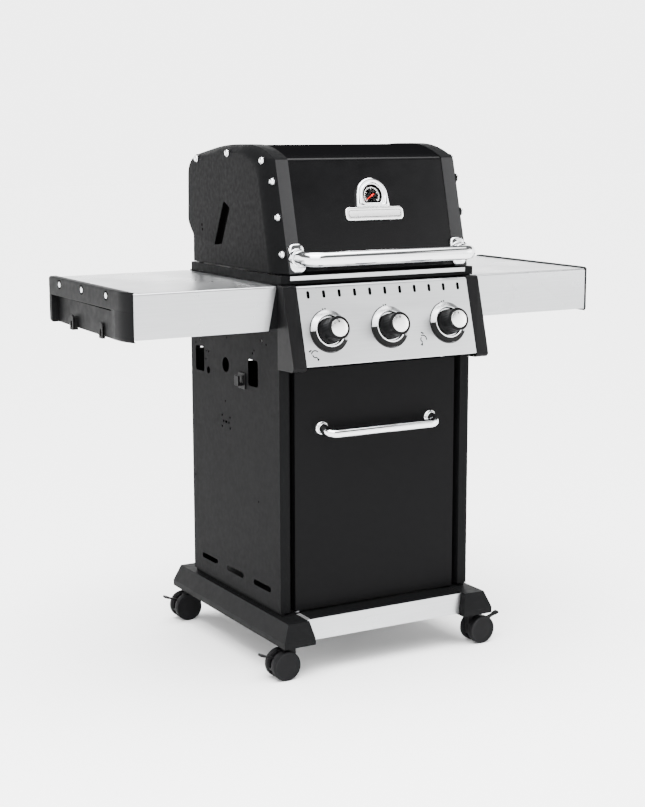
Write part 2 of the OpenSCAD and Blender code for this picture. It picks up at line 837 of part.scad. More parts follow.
module lid_end_caps() {
    notch = [[204, lid_z - cut], [204, 1004], [237, 1037], [260, 1037], [260, lid_z - cut]];
    cart() color([0.22, 0.22, 0.23]) both_sides() difference() {
        lid_cap_form(0);
        difference() {
            lid_cap_form(cap_wall);
            // seats for the cap nuts
            for (p = lid_nuts) rod_x(p - [6, 0, 0], lid_nut_r + 3, 22);
        }
        for (p = lid_nuts) rod_x(p, lid_nut_r + 1.5, 24);
        along_x(hood_x - cut, cap_x + cut) polygon(notch);
        // open back, so that the hinge ear and the warming rack pass as the lid swings
        block([hood_x - cut, 190, lid_z - cut], [cap_x - cap_wall, 240, 1031]);
        rod_x([cap_x - 6, hinge_y, hinge_z], hinge_pin_r + fit, 8);
        // pressed mark on the side
        along_x(cap_x - 1.2, cap_x + cut) polygon([[24, 1089], [2, 1076], [46, 991], [77, 987]]);
    }
}

module lid_cap_nuts() {
    cart() color([0.9, 0.9, 0.91]) both_sides() for (p = lid_nuts)
        translate(p) rotate([0, 90, 0]) cap_nut(lid_nut_r, 7);
}

module lid_handle_mounts() {
    bar_v = (lid_handle_z - lid_z) / cos(lid_tilt);
    collar = lid_handle_d / 2 + 2.5;
    cart() color([0.88, 0.88, 0.89]) both_sides() difference() {
        union() {
            on_lid(bar_v) translate([lid_mount_x, 0, cap_proud + 0.1]) linear_extrude(8)
                rounded_rect(38, 66, 9);
            rod_y([lid_mount_x, -258, lid_handle_z], collar, 24);
        }
        rod_y([lid_mount_x, -259, lid_handle_z], lid_handle_d / 2 + fit, 7);
        on_lid() block([150, -40, -60], [300, 120, cap_proud + 0.1]);
    }
}

module lid_handle() {
    cart() color([0.9, 0.9, 0.91]) translate([0, lid_handle_y, lid_handle_z])
        bent_tube(lid_mount_x, lid_handle_d / 2, 30, -252.1 - lid_handle_y);
}

// A round window of radius r with a flat foot, low below its middle.
module arch_window(r, low, h) {
    linear_extrude(h) intersection() {
        circle(r);
        translate([-r, -low]) square([2 * r, r + low]);
    }
}

module thermometer_housing() {
    cart() color([0.85, 0.85, 0.86]) on_lid(dial_v) difference() {
        translate([0, 0, 0.1]) union() {
            arch_window(41, 26, 9);
            translate([-42, -26, 0]) cube([84, 20, 9]);
        }
        translate([0, 0, 2]) arch_window(dial_r + 0.2, dial_low + 0.2, 10);
    }
}

module thermometer_dial() {
    cart() color([0.05, 0.05, 0.05]) on_lid(dial_v) translate([0, 0, 2]) difference() {
        arch_window(dial_r, dial_low, 1);
        translate([0, 0, -cut]) cylinder(r = 1 + fit, h = 1 + 2 * cut);
    }
}

module thermometer_needle() {
    cart() color([0.8, 0.08, 0.06]) on_lid(dial_v) {
        translate([0, 0, 2.1]) cylinder(r = 1, h = 3);
        translate([0, 0, 3.4]) cylinder(r = 3, h = 1.8);
        rotate([0, 0, 211]) translate([0, 0, 4]) linear_extrude(0.8)
            polygon([[-9, -2.4], [-9, 2.4], [20, 0.5], [20, -0.5]]);
    }
}

module thermometer_lens() {
    cart() color([0.9, 0.93, 0.95, 0.3]) on_lid(dial_v) translate([0, 0, 6.4])
        arch_window(dial_r, dial_low, 1.6);
}

module badge_plate() {
    cart() color([0.88, 0.88, 0.89]) on_lid(badge_v) translate([2, 0, 0.1])
        linear_extrude(5) rounded_rect(156, 31, 9);
}

// ---- Door ----

module door_panel() {
    inner = door_front + sheet;
    rear = door_front + door_t;
    cart() color([0.12, 0.12, 0.13]) difference() {
        union() {
            difference() {
                block([-door_x, door_front, door_bottom], [door_x, rear, door_top]);
                block(
                    [-door_x + sheet, inner, door_bottom + sheet],
                    [door_x - sheet, rear + cut, door_top - sheet]
                );
            }
            for (z = [door_bottom, door_top - 18])
                block([-door_x + 1, inner - 0.5, z], [-door_x + 22, rear, z + 18]);
        }
        for (z = [door_bottom - cut, door_top - 14])
            translate([door_pin_x, door_pin_y, z]) cylinder(r = door_pin_r + fit, h = 14 + cut);
    }
}

module door_handle_mounts() {
    cart() color([0.88, 0.88, 0.89]) both_sides()
        translate([door_boss_x, door_front, door_boss_z]) rotate([90, 0, 0]) rotate_extrude()
            polygon([[0, 0], [17, 0], [17, 3], [14.5, 6], [0, 6]]);
}

module door_handle() {
    reach = 33;
    boss_y = door_front - 6;
    cart() color([0.9, 0.9, 0.91]) difference() {
        translate([
            0, boss_y - reach * cos(door_droop), door_boss_z - reach * sin(door_droop)
        ]) rotate([door_droop, 0, 0]) bent_tube(door_boss_x, door_handle_d / 2, 22, reach + 8);
        block([-200, boss_y, 500], [200, boss_y + 60, 650]);
    }
}

// ---- Grease tray ----

module grease_tray() {
    half = 172;
    y0 = -150;
    y1 = 228;
    rim_z = 750.8;
    low_z = 728;
    cart() color([0.7, 0.7, 0.71]) {
        difference() {
            block([-half, y0, low_z], [half, y1, rim_z + sheet]);
            block([-half + sheet, y0 + sheet, low_z + sheet], [half - sheet, y1 - sheet, rim_z + 9]);
        }
        both_sides() block([half - sheet, y0, rim_z], [206, y1, rim_z + sheet]);
        // pull along the rear edge
        block([-90, y1 - sheet, rim_z], [90, y1 + 22, rim_z + sheet]);
        block([-90, y1 + 22 - sheet, rim_z - 14], [90, y1 + 22, rim_z + sheet]);
    }
}

base_rail_left();
base_rail_right();
base_trim();
base_shelf();
side_panel_left();
side_panel_right();
back_panel();
front_rail();
firebox();
firebox_trim();
control_panel();
control_caps();
knob_bezels();
gas_manifold();
gas_valves();
burners();
igniter();
heat_tents();
cooking_grids();
warming_rack();
shelf_left();
shelf_right();
shelf_cap_left();
shelf_cap_right();
shelf_brackets();
shelf_bolts();
hose_hook();
hinge_pins();
lid_hood();
lid_end_caps();
lid_handle();
lid_handle_mounts();
lid_cap_nuts();
thermometer_housing();
thermometer_dial();
thermometer_lens();
badge_plate();
thermometer_needle();
door_panel();
door_handle();
door_handle_mounts();
grease_tray();
spindle_left();
spindle_middle();
spindle_right();
knob_left();
knob_middle();
knob_right();
caster_hood_fl();
caster_hood_fr();
caster_hood_bl();
caster_hood_br();
caster_wheels_fl();
caster_wheels_fr();
caster_wheels_bl();
caster_wheels_br();
brake_pedal_fl();
brake_pedal_fr();
brake_pedal_bl();
brake_pedal_br();
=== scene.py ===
"""The looks of a gas barbecue grill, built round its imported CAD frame.

Shapes are drawn in millimetres about the cabinet's own centre line, the way the frame's parts
are, and make() moves them into the row frame in metres.
"""

import json
import math

import bmesh
import bpy
from mathutils import Matrix, Vector
from mathutils.bvhtree import BVHTree


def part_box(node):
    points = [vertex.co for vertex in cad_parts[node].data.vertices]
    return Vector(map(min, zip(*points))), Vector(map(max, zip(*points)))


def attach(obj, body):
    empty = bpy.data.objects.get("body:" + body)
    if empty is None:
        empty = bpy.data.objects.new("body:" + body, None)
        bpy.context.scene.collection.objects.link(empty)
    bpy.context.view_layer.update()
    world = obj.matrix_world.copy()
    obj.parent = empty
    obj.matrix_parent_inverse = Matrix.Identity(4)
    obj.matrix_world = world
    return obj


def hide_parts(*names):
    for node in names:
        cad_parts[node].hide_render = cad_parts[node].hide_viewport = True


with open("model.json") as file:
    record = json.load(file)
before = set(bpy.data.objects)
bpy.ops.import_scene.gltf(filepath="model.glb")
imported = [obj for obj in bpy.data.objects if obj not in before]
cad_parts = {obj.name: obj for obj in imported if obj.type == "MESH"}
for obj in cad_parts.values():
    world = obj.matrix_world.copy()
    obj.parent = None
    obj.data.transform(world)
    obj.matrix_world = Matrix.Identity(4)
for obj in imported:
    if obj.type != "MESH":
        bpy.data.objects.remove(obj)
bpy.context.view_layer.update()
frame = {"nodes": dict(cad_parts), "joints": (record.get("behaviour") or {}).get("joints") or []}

MM = 0.001


def extent(node):
    """A CAD node's lowest and highest corners, in millimetres about the cabinet's centre line."""
    return [Vector((p.x, p.y - CABINET_Y, p.z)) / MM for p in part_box(node)]


side_low, side_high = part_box("side_panel_left")
CABINET_Y = (side_low.y + side_high.y) / 2
TO_ROW = Matrix.Translation((0, CABINET_Y, 0)) @ Matrix.Scale(MM, 4)

# ---- Outlines ----


def rounded(corners, steps=8):
    """Points of an outline whose corners are (a, b, radius). A radius of 0 stays sharp."""
    points = []
    count = len(corners)
    for i, (a, b, radius) in enumerate(corners):
        here = Vector((a, b))
        if radius == 0:
            points.append(here)
            continue
        before = (Vector(corners[i - 1][:2]) - here).normalized()
        after = (Vector(corners[(i + 1) % count][:2]) - here).normalized()
        half = before.angle(after) / 2
        start = here + before * radius / math.tan(half)
        centre = here + (before + after).normalized() * radius / math.sin(half)
        first = (start - centre)
        turn = math.pi - 2 * half
        if before.x * after.y - before.y * after.x > 0:
            turn = -turn
        for k in range(steps + 1):
            t = turn * k / steps
            c, s = math.cos(t), math.sin(t)
            points.append(centre + Vector((first.x * c - first.y * s, first.x * s + first.y * c)))
    return points


def rect(width, height, radius=0, centre=(0, 0), steps=6):
    w, h = width / 2, height / 2
    cx, cy = centre
    return rounded([(cx - w, cy - h, radius), (cx + w, cy - h, radius),
                    (cx + w, cy + h, radius), (cx - w, cy + h, radius)], steps)


def circle(radius, centre=(0, 0), count=24, start=0.0):
    return [Vector((centre[0] + radius * math.cos(start + math.tau * k / count),
                    centre[1] + radius * math.sin(start + math.tau * k / count))) for k in range(count)]


def shifted(points, distance, closed=False):
    """The outline moved sideways, to its left."""
    result = []
    count = len(points)
    for i, p in enumerate(points):
        a = points[i - 1] if closed or i > 0 else p
        b = points[(i + 1) % count] if closed or i < count - 1 else p
        sides = []
        for u, v in ((a, p), (p, b)):
            d = v - u
            if d.length > 1e-9:
                d.normalize()
                sides.append(Vector((-d.y, d.x)))
        middle = sum(sides, Vector((0, 0))).normalized()
        result.append(p + middle * distance / max(middle.dot(sides[0]), 0.2))
    return result


def strip(points, thickness):
    """A closed outline of a sheet that follows the points, on their right."""
    return list(points) + list(reversed(shifted(points, -thickness)))


# ---- Mesh helpers: each adds to a bmesh ----

# Columns say where an outline's first and second coordinates and the extrusion go.
ALONG = {
    "x": Matrix(((0, 0, 1, 0), (1, 0, 0, 0), (0, 1, 0, 0), (0, 0, 0, 1))),
    "y": Matrix(((1, 0, 0, 0), (0, 0, -1, 0), (0, 1, 0, 0), (0, 0, 0, 1))),
    "z": Matrix.Identity(4),
}


def plate(bm, outline, low, high, where=Matrix.Identity(4), holes=()):
    """A flat sheet between two levels of its own Z, with holes through it."""
    edges, start = [], len(bm.verts)
    for loop in [outline, *holes]:
        verts = [bm.verts.new((p.x, p.y, low)) for p in loop]
        edges += [bm.edges.new((verts[i - 1], verts[i])) for i in range(len(verts))]
    if holes:
        faces = bmesh.ops.triangle_fill(bm, edges=edges, use_beauty=True, normal=(0, 0, 1))["geom"]
        faces = [f for f in faces if isinstance(f, bmesh.types.BMFace)]
    else:
        bm.verts.ensure_lookup_table()
        faces = [bm.faces.new(bm.verts[start:])]
    out = bmesh.ops.extrude_face_region(bm, geom=faces)["geom"]
    moved = [v for v in out if isinstance(v, bmesh.types.BMVert)]
    bmesh.ops.translate(bm, verts=moved, vec=(0, 0, high - low))
    bm.verts.ensure_lookup_table()
    bmesh.ops.transform(bm, matrix=where, verts=bm.verts[start:])


def prism(bm, outline, low, high, axis, holes=()):
    """An outline extruded along an axis: (y, z) along x, (x, z) along y or (x, y) along z."""
    if axis == "y":
        plate(bm, outline, -high, -low, ALONG["y"], holes)
    else:
        plate(bm, outline, low, high, ALONG[axis], holes)


def block(bm, low, high):
    centre = (Vector(low) + Vector(high)) / 2
    size = Vector(high) - Vector(low)
    bmesh.ops.create_cube(bm, size=1, matrix=Matrix.Translation(centre) @ Matrix.Diagonal((*size, 1)))


def lathe(bm, profile, where=Matrix.Identity(4), count=64, start=0.0, sweep=math.tau, wave=None):
    """Turns (radius, height) points about Z. wave(angle, radius, height) may change the radius."""
    whole = abs(sweep - math.tau) < 1e-6
    rings = []
    for k in range(count if whole else count + 1):
        angle = start + sweep * k / count
        ring = []
        for radius, height in profile:
            r = wave(angle, radius, height) if wave else radius
            ring.append(bm.verts.new(where @ Vector((r * math.cos(angle), r * math.sin(angle), height))))
        rings.append(ring)
    for k in range(count):
        a, b = rings[k], rings[(k + 1) % len(rings)]
        for i in range(len(profile) - 1):
            if (a[i].co - b[i].co).length < 1e-9 and (a[i + 1].co - b[i + 1].co).length < 1e-9:
                continue
            bm.faces.new((a[i], b[i], b[i + 1], a[i + 1]))
    if not whole:
        for ring in (rings[0], rings[-1]):
            if len(set(tuple(v.co) for v in ring)) > 2:
                bm.faces.new(ring)


def sweep_tube(bm, path, radius, count=28):
    """A round tube along points, each ring square to the path."""
    rings = []
    side = None
    for i, p in enumerate(path):
        ahead = path[min(i + 1, len(path) - 1)]
        behind = path[max(i - 1, 0)]
        along = (ahead - behind).normalized()
        if side is None:
            side = along.orthogonal().normalized()
        side = (side - along * side.dot(along)).normalized()
        up = along.cross(side)
        rings.append([bm.verts.new(p + radius * (side * math.cos(math.tau * k / count)
                      + up * math.sin(math.tau * k / count))) for k in range(count)])
    for a, b in zip(rings, rings[1:]):
        for k in range(count):
            bm.faces.new((a[k - 1], a[k], b[k], b[k - 1]))
    bm.faces.new(rings[0])
    bm.faces.new(rings[-1])


def bent_path(corners, steps=10):
    """Points along a path through 3D corners given as (point, bend radius)."""
    points = []
    for i, (here, radius) in enumerate(corners):
        here = Vector(here)
        if radius == 0:
            points.append(here)
            continue
        before = (Vector(corners[i - 1][0]) - here).normalized()
        after = (Vector(corners[i + 1][0]) - here).normalized()
        half = before.angle(after) / 2
        centre = here + (before + after).normalized() * radius / math.sin(half)
        a = here + before * radius / math.tan(half) - centre
        b = here + after * radius / math.tan(half) - centre
        total = a.angle(b)
        for k in range(steps + 1):
            t = total * k / steps
            points.append(centre + (a * math.sin(total - t) + b * math.sin(t)) / math.sin(total))
    return points


def loft(bm, rings, closed=True, keep=None):
    """Joins rings of equal length. keep(i) says whether the i-th strip of faces is wanted."""
    made = [[bm.verts.new(p) for p in ring] for ring in rings]
    count = len(made[0])
    for a, b in zip(made, made[1:]):
        for i in range(0 if closed else 1, count):
            if keep is None or keep(i):
                bm.faces.new((a[i - 1], a[i], b[i], b[i - 1]))
    return made


def mirrored(bm):
    """Adds the mirror image across X."""
    bmesh.ops.mirror(bm, geom=bm.verts[:] + bm.edges[:] + bm.faces[:], axis="X", merge_dist=-1)


def each_side(draw):
    """Draws on the right, then mirrors to the left."""
    bm = bmesh.new()
    draw(bm)
    mirrored(bm)
    return bm


# Points closer than this, in millimetres, become one
WELD = 1e-4


def make(name, bm, body, material, replaces=(), bevel=0.0, angle=35, wall=0.0, even=False):
    """Turns a bmesh in millimetres into a piece that rides on a body."""
    bmesh.ops.remove_doubles(bm, verts=bm.verts, dist=WELD)
    bmesh.ops.recalc_face_normals(bm, faces=bm.faces)
    bmesh.ops.transform(bm, matrix=TO_ROW, verts=bm.verts)
    mesh = bpy.data.meshes.new(name)
    bm.to_mesh(mesh)
    bm.free()
    mesh.shade_smooth()
    mesh.set_sharp_from_angle(angle=math.radians(angle))
    obj = bpy.data.objects.new(name, mesh)
    bpy.context.scene.collection.objects.link(obj)
    for m in material if isinstance(material, (list, tuple)) else [material]:
        mesh.materials.append(m)
    if wall:
        solid = obj.modifiers.new("wall", "SOLIDIFY")
        solid.thickness = wall * MM
        solid.offset = -1
    if bevel:
        soften(obj, bevel, angle=angle)
    if even:
        obj.modifiers.new("even", "WEIGHTED_NORMAL").keep_sharp = True
    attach(obj, body)
    if replaces:
        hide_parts(*replaces)
    return obj


def soften(obj, width, segments=2, angle=35):
    """Rounds a piece's sharp edges."""
    mod = obj.modifiers.new("edge", "BEVEL")
    mod.width = width * MM
    mod.segments = segments
    mod.limit_method = "ANGLE"
    mod.angle_limit = math.radians(angle)
    mod.harden_normals = True
    mod.use_clamp_overlap = True


def dress(node, material, bevel=0.0, segments=2, angle=35):
    """Keeps a CAD node's shape: new material and softened edges."""
    obj = frame["nodes"][node]
    obj.data.materials.clear()
    obj.data.materials.append(material)
    weld = obj.modifiers.new("weld", "WELD")
    weld.merge_threshold = 0.00002
    if bevel:
        soften(obj, bevel, segments, angle)


# ---- Materials ----


class Finish:
    """A principled material with helpers for the nodes that give it detail."""

    def __init__(self, name, colour, rough, metal=0.0, **sockets):
        self.material = bpy.data.materials.new(name)
        self.material.use_nodes = True
        self.tree = self.material.node_tree
        self.shader = self.tree.nodes["Principled BSDF"]
        self.colour, self.rough = colour, rough
        self.set("Base Color", (*colour, 1))
        self.set("Roughness", rough)
        self.set("Metallic", metal)
        for key, value in sockets.items():
            self.set(key.replace("_", " "), value)
        self.coords = self.tree.nodes.new("ShaderNodeTexCoord").outputs["Object"]
        self.normal = None

    def set(self, socket, value):
        self.shader.inputs[socket].default_value = value

    def link(self, out, into):
        self.tree.links.new(out, into)

    def mapped(self, scale):
        node = self.tree.nodes.new("ShaderNodeMapping")
        node.inputs["Scale"].default_value = scale
        self.link(self.coords, node.inputs["Vector"])
        return node.outputs["Vector"]

    def noise(self, scale, detail=2.0, stretch=(1, 1, 1), rough=0.5):
        node = self.tree.nodes.new("ShaderNodeTexNoise")
        node.inputs["Scale"].default_value = scale
        node.inputs["Detail"].default_value = detail
        node.inputs["Roughness"].default_value = rough
        self.link(self.mapped(stretch), node.inputs["Vector"])
        return node.outputs["Fac"]

    def ramp(self, source, stops):
        node = self.tree.nodes.new("ShaderNodeValToRGB")
        self.link(source, node.inputs["Fac"])
        elements = node.color_ramp.elements
        while len(elements) < len(stops):
            elements.new(0.5)
        for element, (place, value) in zip(elements, stops):
            element.position = place
            element.color = (*value, 1) if hasattr(value, "__len__") else (value, value, value, 1)
        return node.outputs["Color"]

    def vary_colour(self, source, amount, low=0.3, high=0.7):
        """The colour runs from darker to lighter by the given share."""
        dark = [c * (1 - amount) for c in self.colour]
        light = [min(1, c * (1 + amount)) for c in self.colour]
        self.link(self.ramp(source, [(low, dark), (high, light)]), self.shader.inputs["Base Color"])

    def vary_rough(self, source, amount, low=0.3, high=0.7):
        values = [(low, max(0.02, self.rough - amount)), (high, min(1, self.rough + amount))]
        self.link(self.ramp(source, values), self.shader.inputs["Roughness"])

    def bump(self, source, distance, strength=1.0):
        """distance is the height of the relief, in millimetres."""
        node = self.tree.nodes.new("ShaderNodeBump")
        node.inputs["Distance"].default_value = distance * MM
        node.inputs["Strength"].default_value = strength
        self.link(source, node.inputs["Height"])
        if self.normal:
            self.link(self.normal, node.inputs["Normal"])
        self.normal = node.outputs["Normal"]
        self.link(self.normal, self.shader.inputs["Normal"])


def powder_coat(name, colour, rough, grain, level=0.3):
    f = Finish(name, colour, rough, Specular_IOR_Level=level)
    f.vary_colour(f.noise(70, 4), 0.05)
    f.vary_rough(f.noise(90, 4), 0.04)
    f.bump(f.noise(900, 2), grain)
    return f.material


def enamel(name, colour, rough, level):
    """Glossy paint whose reflection is turned off on level faces: painted shade that keeps tops facing
    the sky dark.
    """
    f = Finish(name, colour, rough, Specular_IOR_Level=level)
    f.vary_colour(f.noise(6, 3), 0.12)
    f.vary_rough(f.noise(25, 4), 0.04)
    f.bump(f.noise(900, 2), 0.004)
    # Painted shade: the specular level falls to nothing where the face points up, so level tops show no
    # sky reflection
    split = f.tree.nodes.new("ShaderNodeSeparateXYZ")
    f.link(f.tree.nodes.new("ShaderNodeNewGeometry").outputs["Normal"], split.inputs[0])
    f.link(f.ramp(split.outputs["Z"], [(0.8, level), (0.93, 0.0)]), f.shader.inputs["Specular IOR Level"])
    return f.material


def brushed(name, colour, rough, stretch, level=0.5):
    f = Finish(name, colour, rough, metal=1.0, Anisotropic=0.35, Specular_IOR_Level=level)
    lines = f.noise(260, 3, stretch, 0.65)
    f.vary_colour(lines, 0.05)
    f.vary_rough(f.noise(7, 3), 0.05)
    f.bump(lines, 0.004)
    return f.material


def chrome_plate():
    f = Finish("chrome", (0.70, 0.71, 0.72), 0.06, metal=1.0)
    f.vary_rough(f.noise(40, 4), 0.03)
    f.vary_colour(f.noise(18, 2), 0.02)
    return f.material


def moulded(name, colour, rough, grain=0.02, level=0.3):
    f = Finish(name, colour, rough, Specular_IOR_Level=level)
    f.vary_colour(f.noise(60, 3), 0.06)
    f.vary_rough(f.noise(60, 3), 0.05)
    f.bump(f.noise(1400, 3), grain)
    return f.material


def cast(name, colour, rough, grain, level=0.3):
    f = Finish(name, colour, rough, Specular_IOR_Level=level)
    f.vary_colour(f.noise(160, 4), 0.05)
    f.vary_rough(f.noise(90, 3), 0.08)
    f.bump(f.noise(350, 4, rough=0.7), grain)
    return f.material


def plain(name, colour, rough, metal=0.0, amount=0.08, **sockets):
    f = Finish(name, colour, rough, metal, **sockets)
    f.vary_colour(f.noise(30, 3), amount)
    f.vary_rough(f.noise(120, 2), 0.04)
    return f.material


def clear_glass():
    f = Finish("dial_glass", (1, 1, 1), 0.02, Transmission_Weight=1.0, IOR=1.03)
    f.vary_rough(f.noise(60, 3), 0.01)
    return f.material


TEXTURED = powder_coat("textured_black", (0.0029, 0.0030, 0.0032), 0.6, 0.03, level=0.03)
SATIN = powder_coat("satin_black", (0.0022, 0.0022, 0.0024), 0.42, 0.006, level=0.035)
ENAMEL = enamel("enamel_black", (0.0021, 0.0021, 0.0023), 0.22, 0.08)
CAST_PAINT = cast("cast_black", (0.0023, 0.0024, 0.0026), 0.55, 0.012, level=0.03)
STEEL_X = brushed("stainless_along_x", (0.40, 0.407, 0.415), 0.3, (0.03, 1, 1))
CHROME = chrome_plate()
# A lighter copy of the cast black: painted light on the front strip of each end cap
CAST_LIT_STRIP = cast("cast_black_painted_light", (0.013, 0.013, 0.0135), 0.42, 0.01, level=0.1)
PLASTIC = moulded("black_plastic", (0.0036, 0.0037, 0.0039), 0.5, level=0.035)
KNOB_BLACK = moulded("knob_black", (0.0028, 0.0028, 0.003), 0.42, 0.012, level=0.05)
NYLON = moulded("caster_black", (0.0050, 0.0050, 0.0054), 0.42, 0.006, level=0.05)
TREAD = moulded("caster_tread", (0.0062, 0.0062, 0.0066), 0.6, 0.03, level=0.04)
IRON = cast("cast_iron", (0.009, 0.009, 0.009), 0.6, 0.06, level=0.1)
# Near-black without reflection, put where holes, slots, pockets and shadow lines show only shade: painted
# shade
PAINTED_SHADE = plain("painted_shade_black", (0.0012, 0.0012, 0.0012), 0.8, Specular_IOR_Level=0.0)
BURNER = plain("burner_steel", (0.42, 0.40, 0.38), 0.4, 1.0, 0.2)
PLATED = plain("plated_steel", (0.55, 0.56, 0.58), 0.35, 1.0, 0.1)
BRASS = plain("brass", (0.62, 0.47, 0.22), 0.3, 1.0, 0.12)
CERAMIC = plain("ceramic", (0.8, 0.78, 0.72), 0.25)
DIAL = plain("dial_black", (0.003, 0.003, 0.003), 0.5, Specular_IOR_Level=0.05)
DIAL_WHITE = plain("dial_white", (0.85, 0.85, 0.83), 0.5)
NEEDLE_RED = plain("needle_red", (0.55, 0.006, 0.004), 0.5, Specular_IOR_Level=0.1)
SATIN_METAL = plain("satin_metal", (0.80, 0.80, 0.80), 0.26, 1.0, 0.03)
BEZEL_METAL = plain("bezel_metal", (0.36, 0.365, 0.37), 0.3, 1.0, 0.03)
INK = plain("dark_ink", (0.004, 0.004, 0.004), 0.5, Specular_IOR_Level=0.05)
GLASS = clear_glass()

# ---- Places taken from the frame ----

JOINTS = {j["name"]: j for j in frame["joints"]}


def face_frame(joint, outward):
    """Axes on a sloping front: origin at the joint, x across, y up the slope, z outwards."""
    x, y, z = JOINTS[joint]["pos_m"]
    origin = Vector((x, y - CABINET_Y, z)) / MM
    out = Vector(JOINTS[joint]["axis"]).normalized() * outward
    across = Vector((1, 0, 0))
    up = out.cross(across)
    return Matrix.Translation(origin) @ Matrix((across, up, out)).transposed().to_4x4()


PANEL = face_frame("knob_turn_middle", 1)
LID = face_frame("needle_turn", -1)
KNOB_XS = {side: JOINTS["knob_turn_" + side]["pos_m"][0] / MM for side in ("left", "middle", "right")}


def on(base, x=0.0, y=0.0, z=0.0):
    return base @ Matrix.Translation((x, y, z))


# ---- Lid ----

LID_LOW = 942
CAP_LOW = 938.6
HOOD_HALF = 208.7
HOOD_SHEET = 1.5
# The hood's outline seen from the side, as (y, z, radius), from the front edge over the top
HOOD = [(-246, LID_LOW, 0), (-181, 1193, 12), (-105, 1223.5, 300), (60, 1223.5, 900),
        (236, 1196, 45), (235, 1036, 25)]
CAP_RIM = [(-248.9, CAP_LOW, 0), (-182.6, 1195, 12), (-105, 1225.4, 300), (60, 1225.4, 900),
           (237.6, 1197.6, 45), (236, 1036, 25), (203, 1003, 12), (203, CAP_LOW, 0)]
CAP_FACE = [(-197, CAP_LOW, 0), (-138, 1172, 45), (-76, 1203, 200), (50, 1204, 500),
            (227, 1185, 40), (232, 1036, 25), (202, 1003, 12), (202, CAP_LOW, 0)]
CAP_INNER_X = 209.2
CAP_CREASE_X = 242.6
CAP_FACE_X = 266.3
CAP_WALL = 3
# Below this height the cap's back border is open, where the hinge ear swings
CAP_OPEN_Z = 1032
WEDGE = [(32, 1093, 6), (-1, 1077, 6), (44, 990, 3), (86, 985, 3)]
WEDGE_DEPTH = 13
# Places of the cap nuts on an end cap, as (y, z)
NUTS = [(-229, 982), (-208.5, 1064), (-186, 1144), (-151, 1190), (8, 1205), (176, 1190)]

NUT_RADIUS = 8.6
NUT_HEIGHT = 7.2
NUT_SEAT = [(0, -4), (10.4, -4), (10.4, 0.3), (9.9, 0.7), (9.1, 0.7), (9.1, 0.1), (0, 0.1)]
# Two small holes behind the opening in an end cap's side
DOTS = ((153, 1030), (150, 1019))
DOT_RADIUS = 3.6


def draw_hood(bm):
    path = rounded(HOOD + [(222, 1023, 0)], 10)
    prism(bm, strip(path, HOOD_SHEET), -HOOD_HALF, HOOD_HALF, "x")
    # hem folded in along the front edge
    top = LID_LOW + HOOD_SHEET
    hem = [(-246, LID_LOW), (-232, LID_LOW), (-231.6, top), (-245.6, top)]
    prism(bm, [Vector(p) for p in hem], -HOOD_HALF, HOOD_HALF, "x")


def draw_end_cap(bm):
    rim, face = rounded(CAP_RIM, 10), rounded(CAP_FACE, 10)

    def ring(points, x):
        return [Vector((x, p.x, p.y)) for p in points]

    rings = [ring(rim, CAP_INNER_X), ring(rim, CAP_CREASE_X - 1.2),
             ring(shifted(rim, -0.35), CAP_CREASE_X - 0.35), ring(shifted(rim, -1.2), CAP_CREASE_X)]
    for step in range(1, 11):
        t = 0.03 + 0.97 * step / 10
        x = CAP_CREASE_X + (CAP_FACE_X - CAP_CREASE_X) * (1 - (1 - t) ** 1.7)
        rings.append(ring([a.lerp(b, t) for a, b in zip(rim, face)], x))
    back = max(i for i, p in enumerate(rim) if p.x > 100 and p.y > CAP_OPEN_Z)
    loft(bm, rings, closed=False, keep=lambda i: i <= back)
    plate_face(bm, face, rounded(WEDGE, 3), CAP_FACE_X)


def plate_face(bm, outline, hole, x):
    edges = []
    for loop in (outline, hole):
        verts = [bm.verts.new((x, p.x, p.y)) for p in loop]
        edges += [bm.edges.new((verts[i - 1], verts[i])) for i in range(len(verts))]
    bmesh.ops.triangle_fill(bm, edges=edges, use_beauty=True, normal=(1, 0, 0))


def draw_recess(bm):
    """The pocket behind the opening in an end cap's side, and two small holes behind it, in painted
    shade: a black lining and black discs.
    """
    outline = rounded(WEDGE, 3)
    rings = [[Vector((x, p.x, p.y)) for p in shifted(outline, inset, True)]
             for x, inset in ((CAP_FACE_X - 1.2, -0.3), (CAP_FACE_X - WEDGE_DEPTH, 1.5))]
    made = loft(bm, rings)
    bm.faces.new(made[-1])
    for spot in DOTS:
        prism(bm, circle(DOT_RADIUS, spot, 14), CAP_FACE_X - 0.3, CAP_FACE_X + 0.12, "x")


def dome_nut(bm, where, radius, height):
    """A round cap nut: a short collar, a step and a dome."""
    lathe(bm, [(0, -3), (radius, -3), (radius, 1.6), (radius - 0.7, 2.2), (radius - 1.2, 2.4)]
          + [((radius - 1.2) * math.cos(a), 2.4 + (height - 2.4) * math.sin(a))
             for a in [math.pi / 2 * k / 8 for k in range(1, 9)]], where, 32)


def facing(point, normal):
    return Matrix.Translation(point) @ Vector(normal).to_track_quat("Z", "Y").to_matrix().to_4x4()


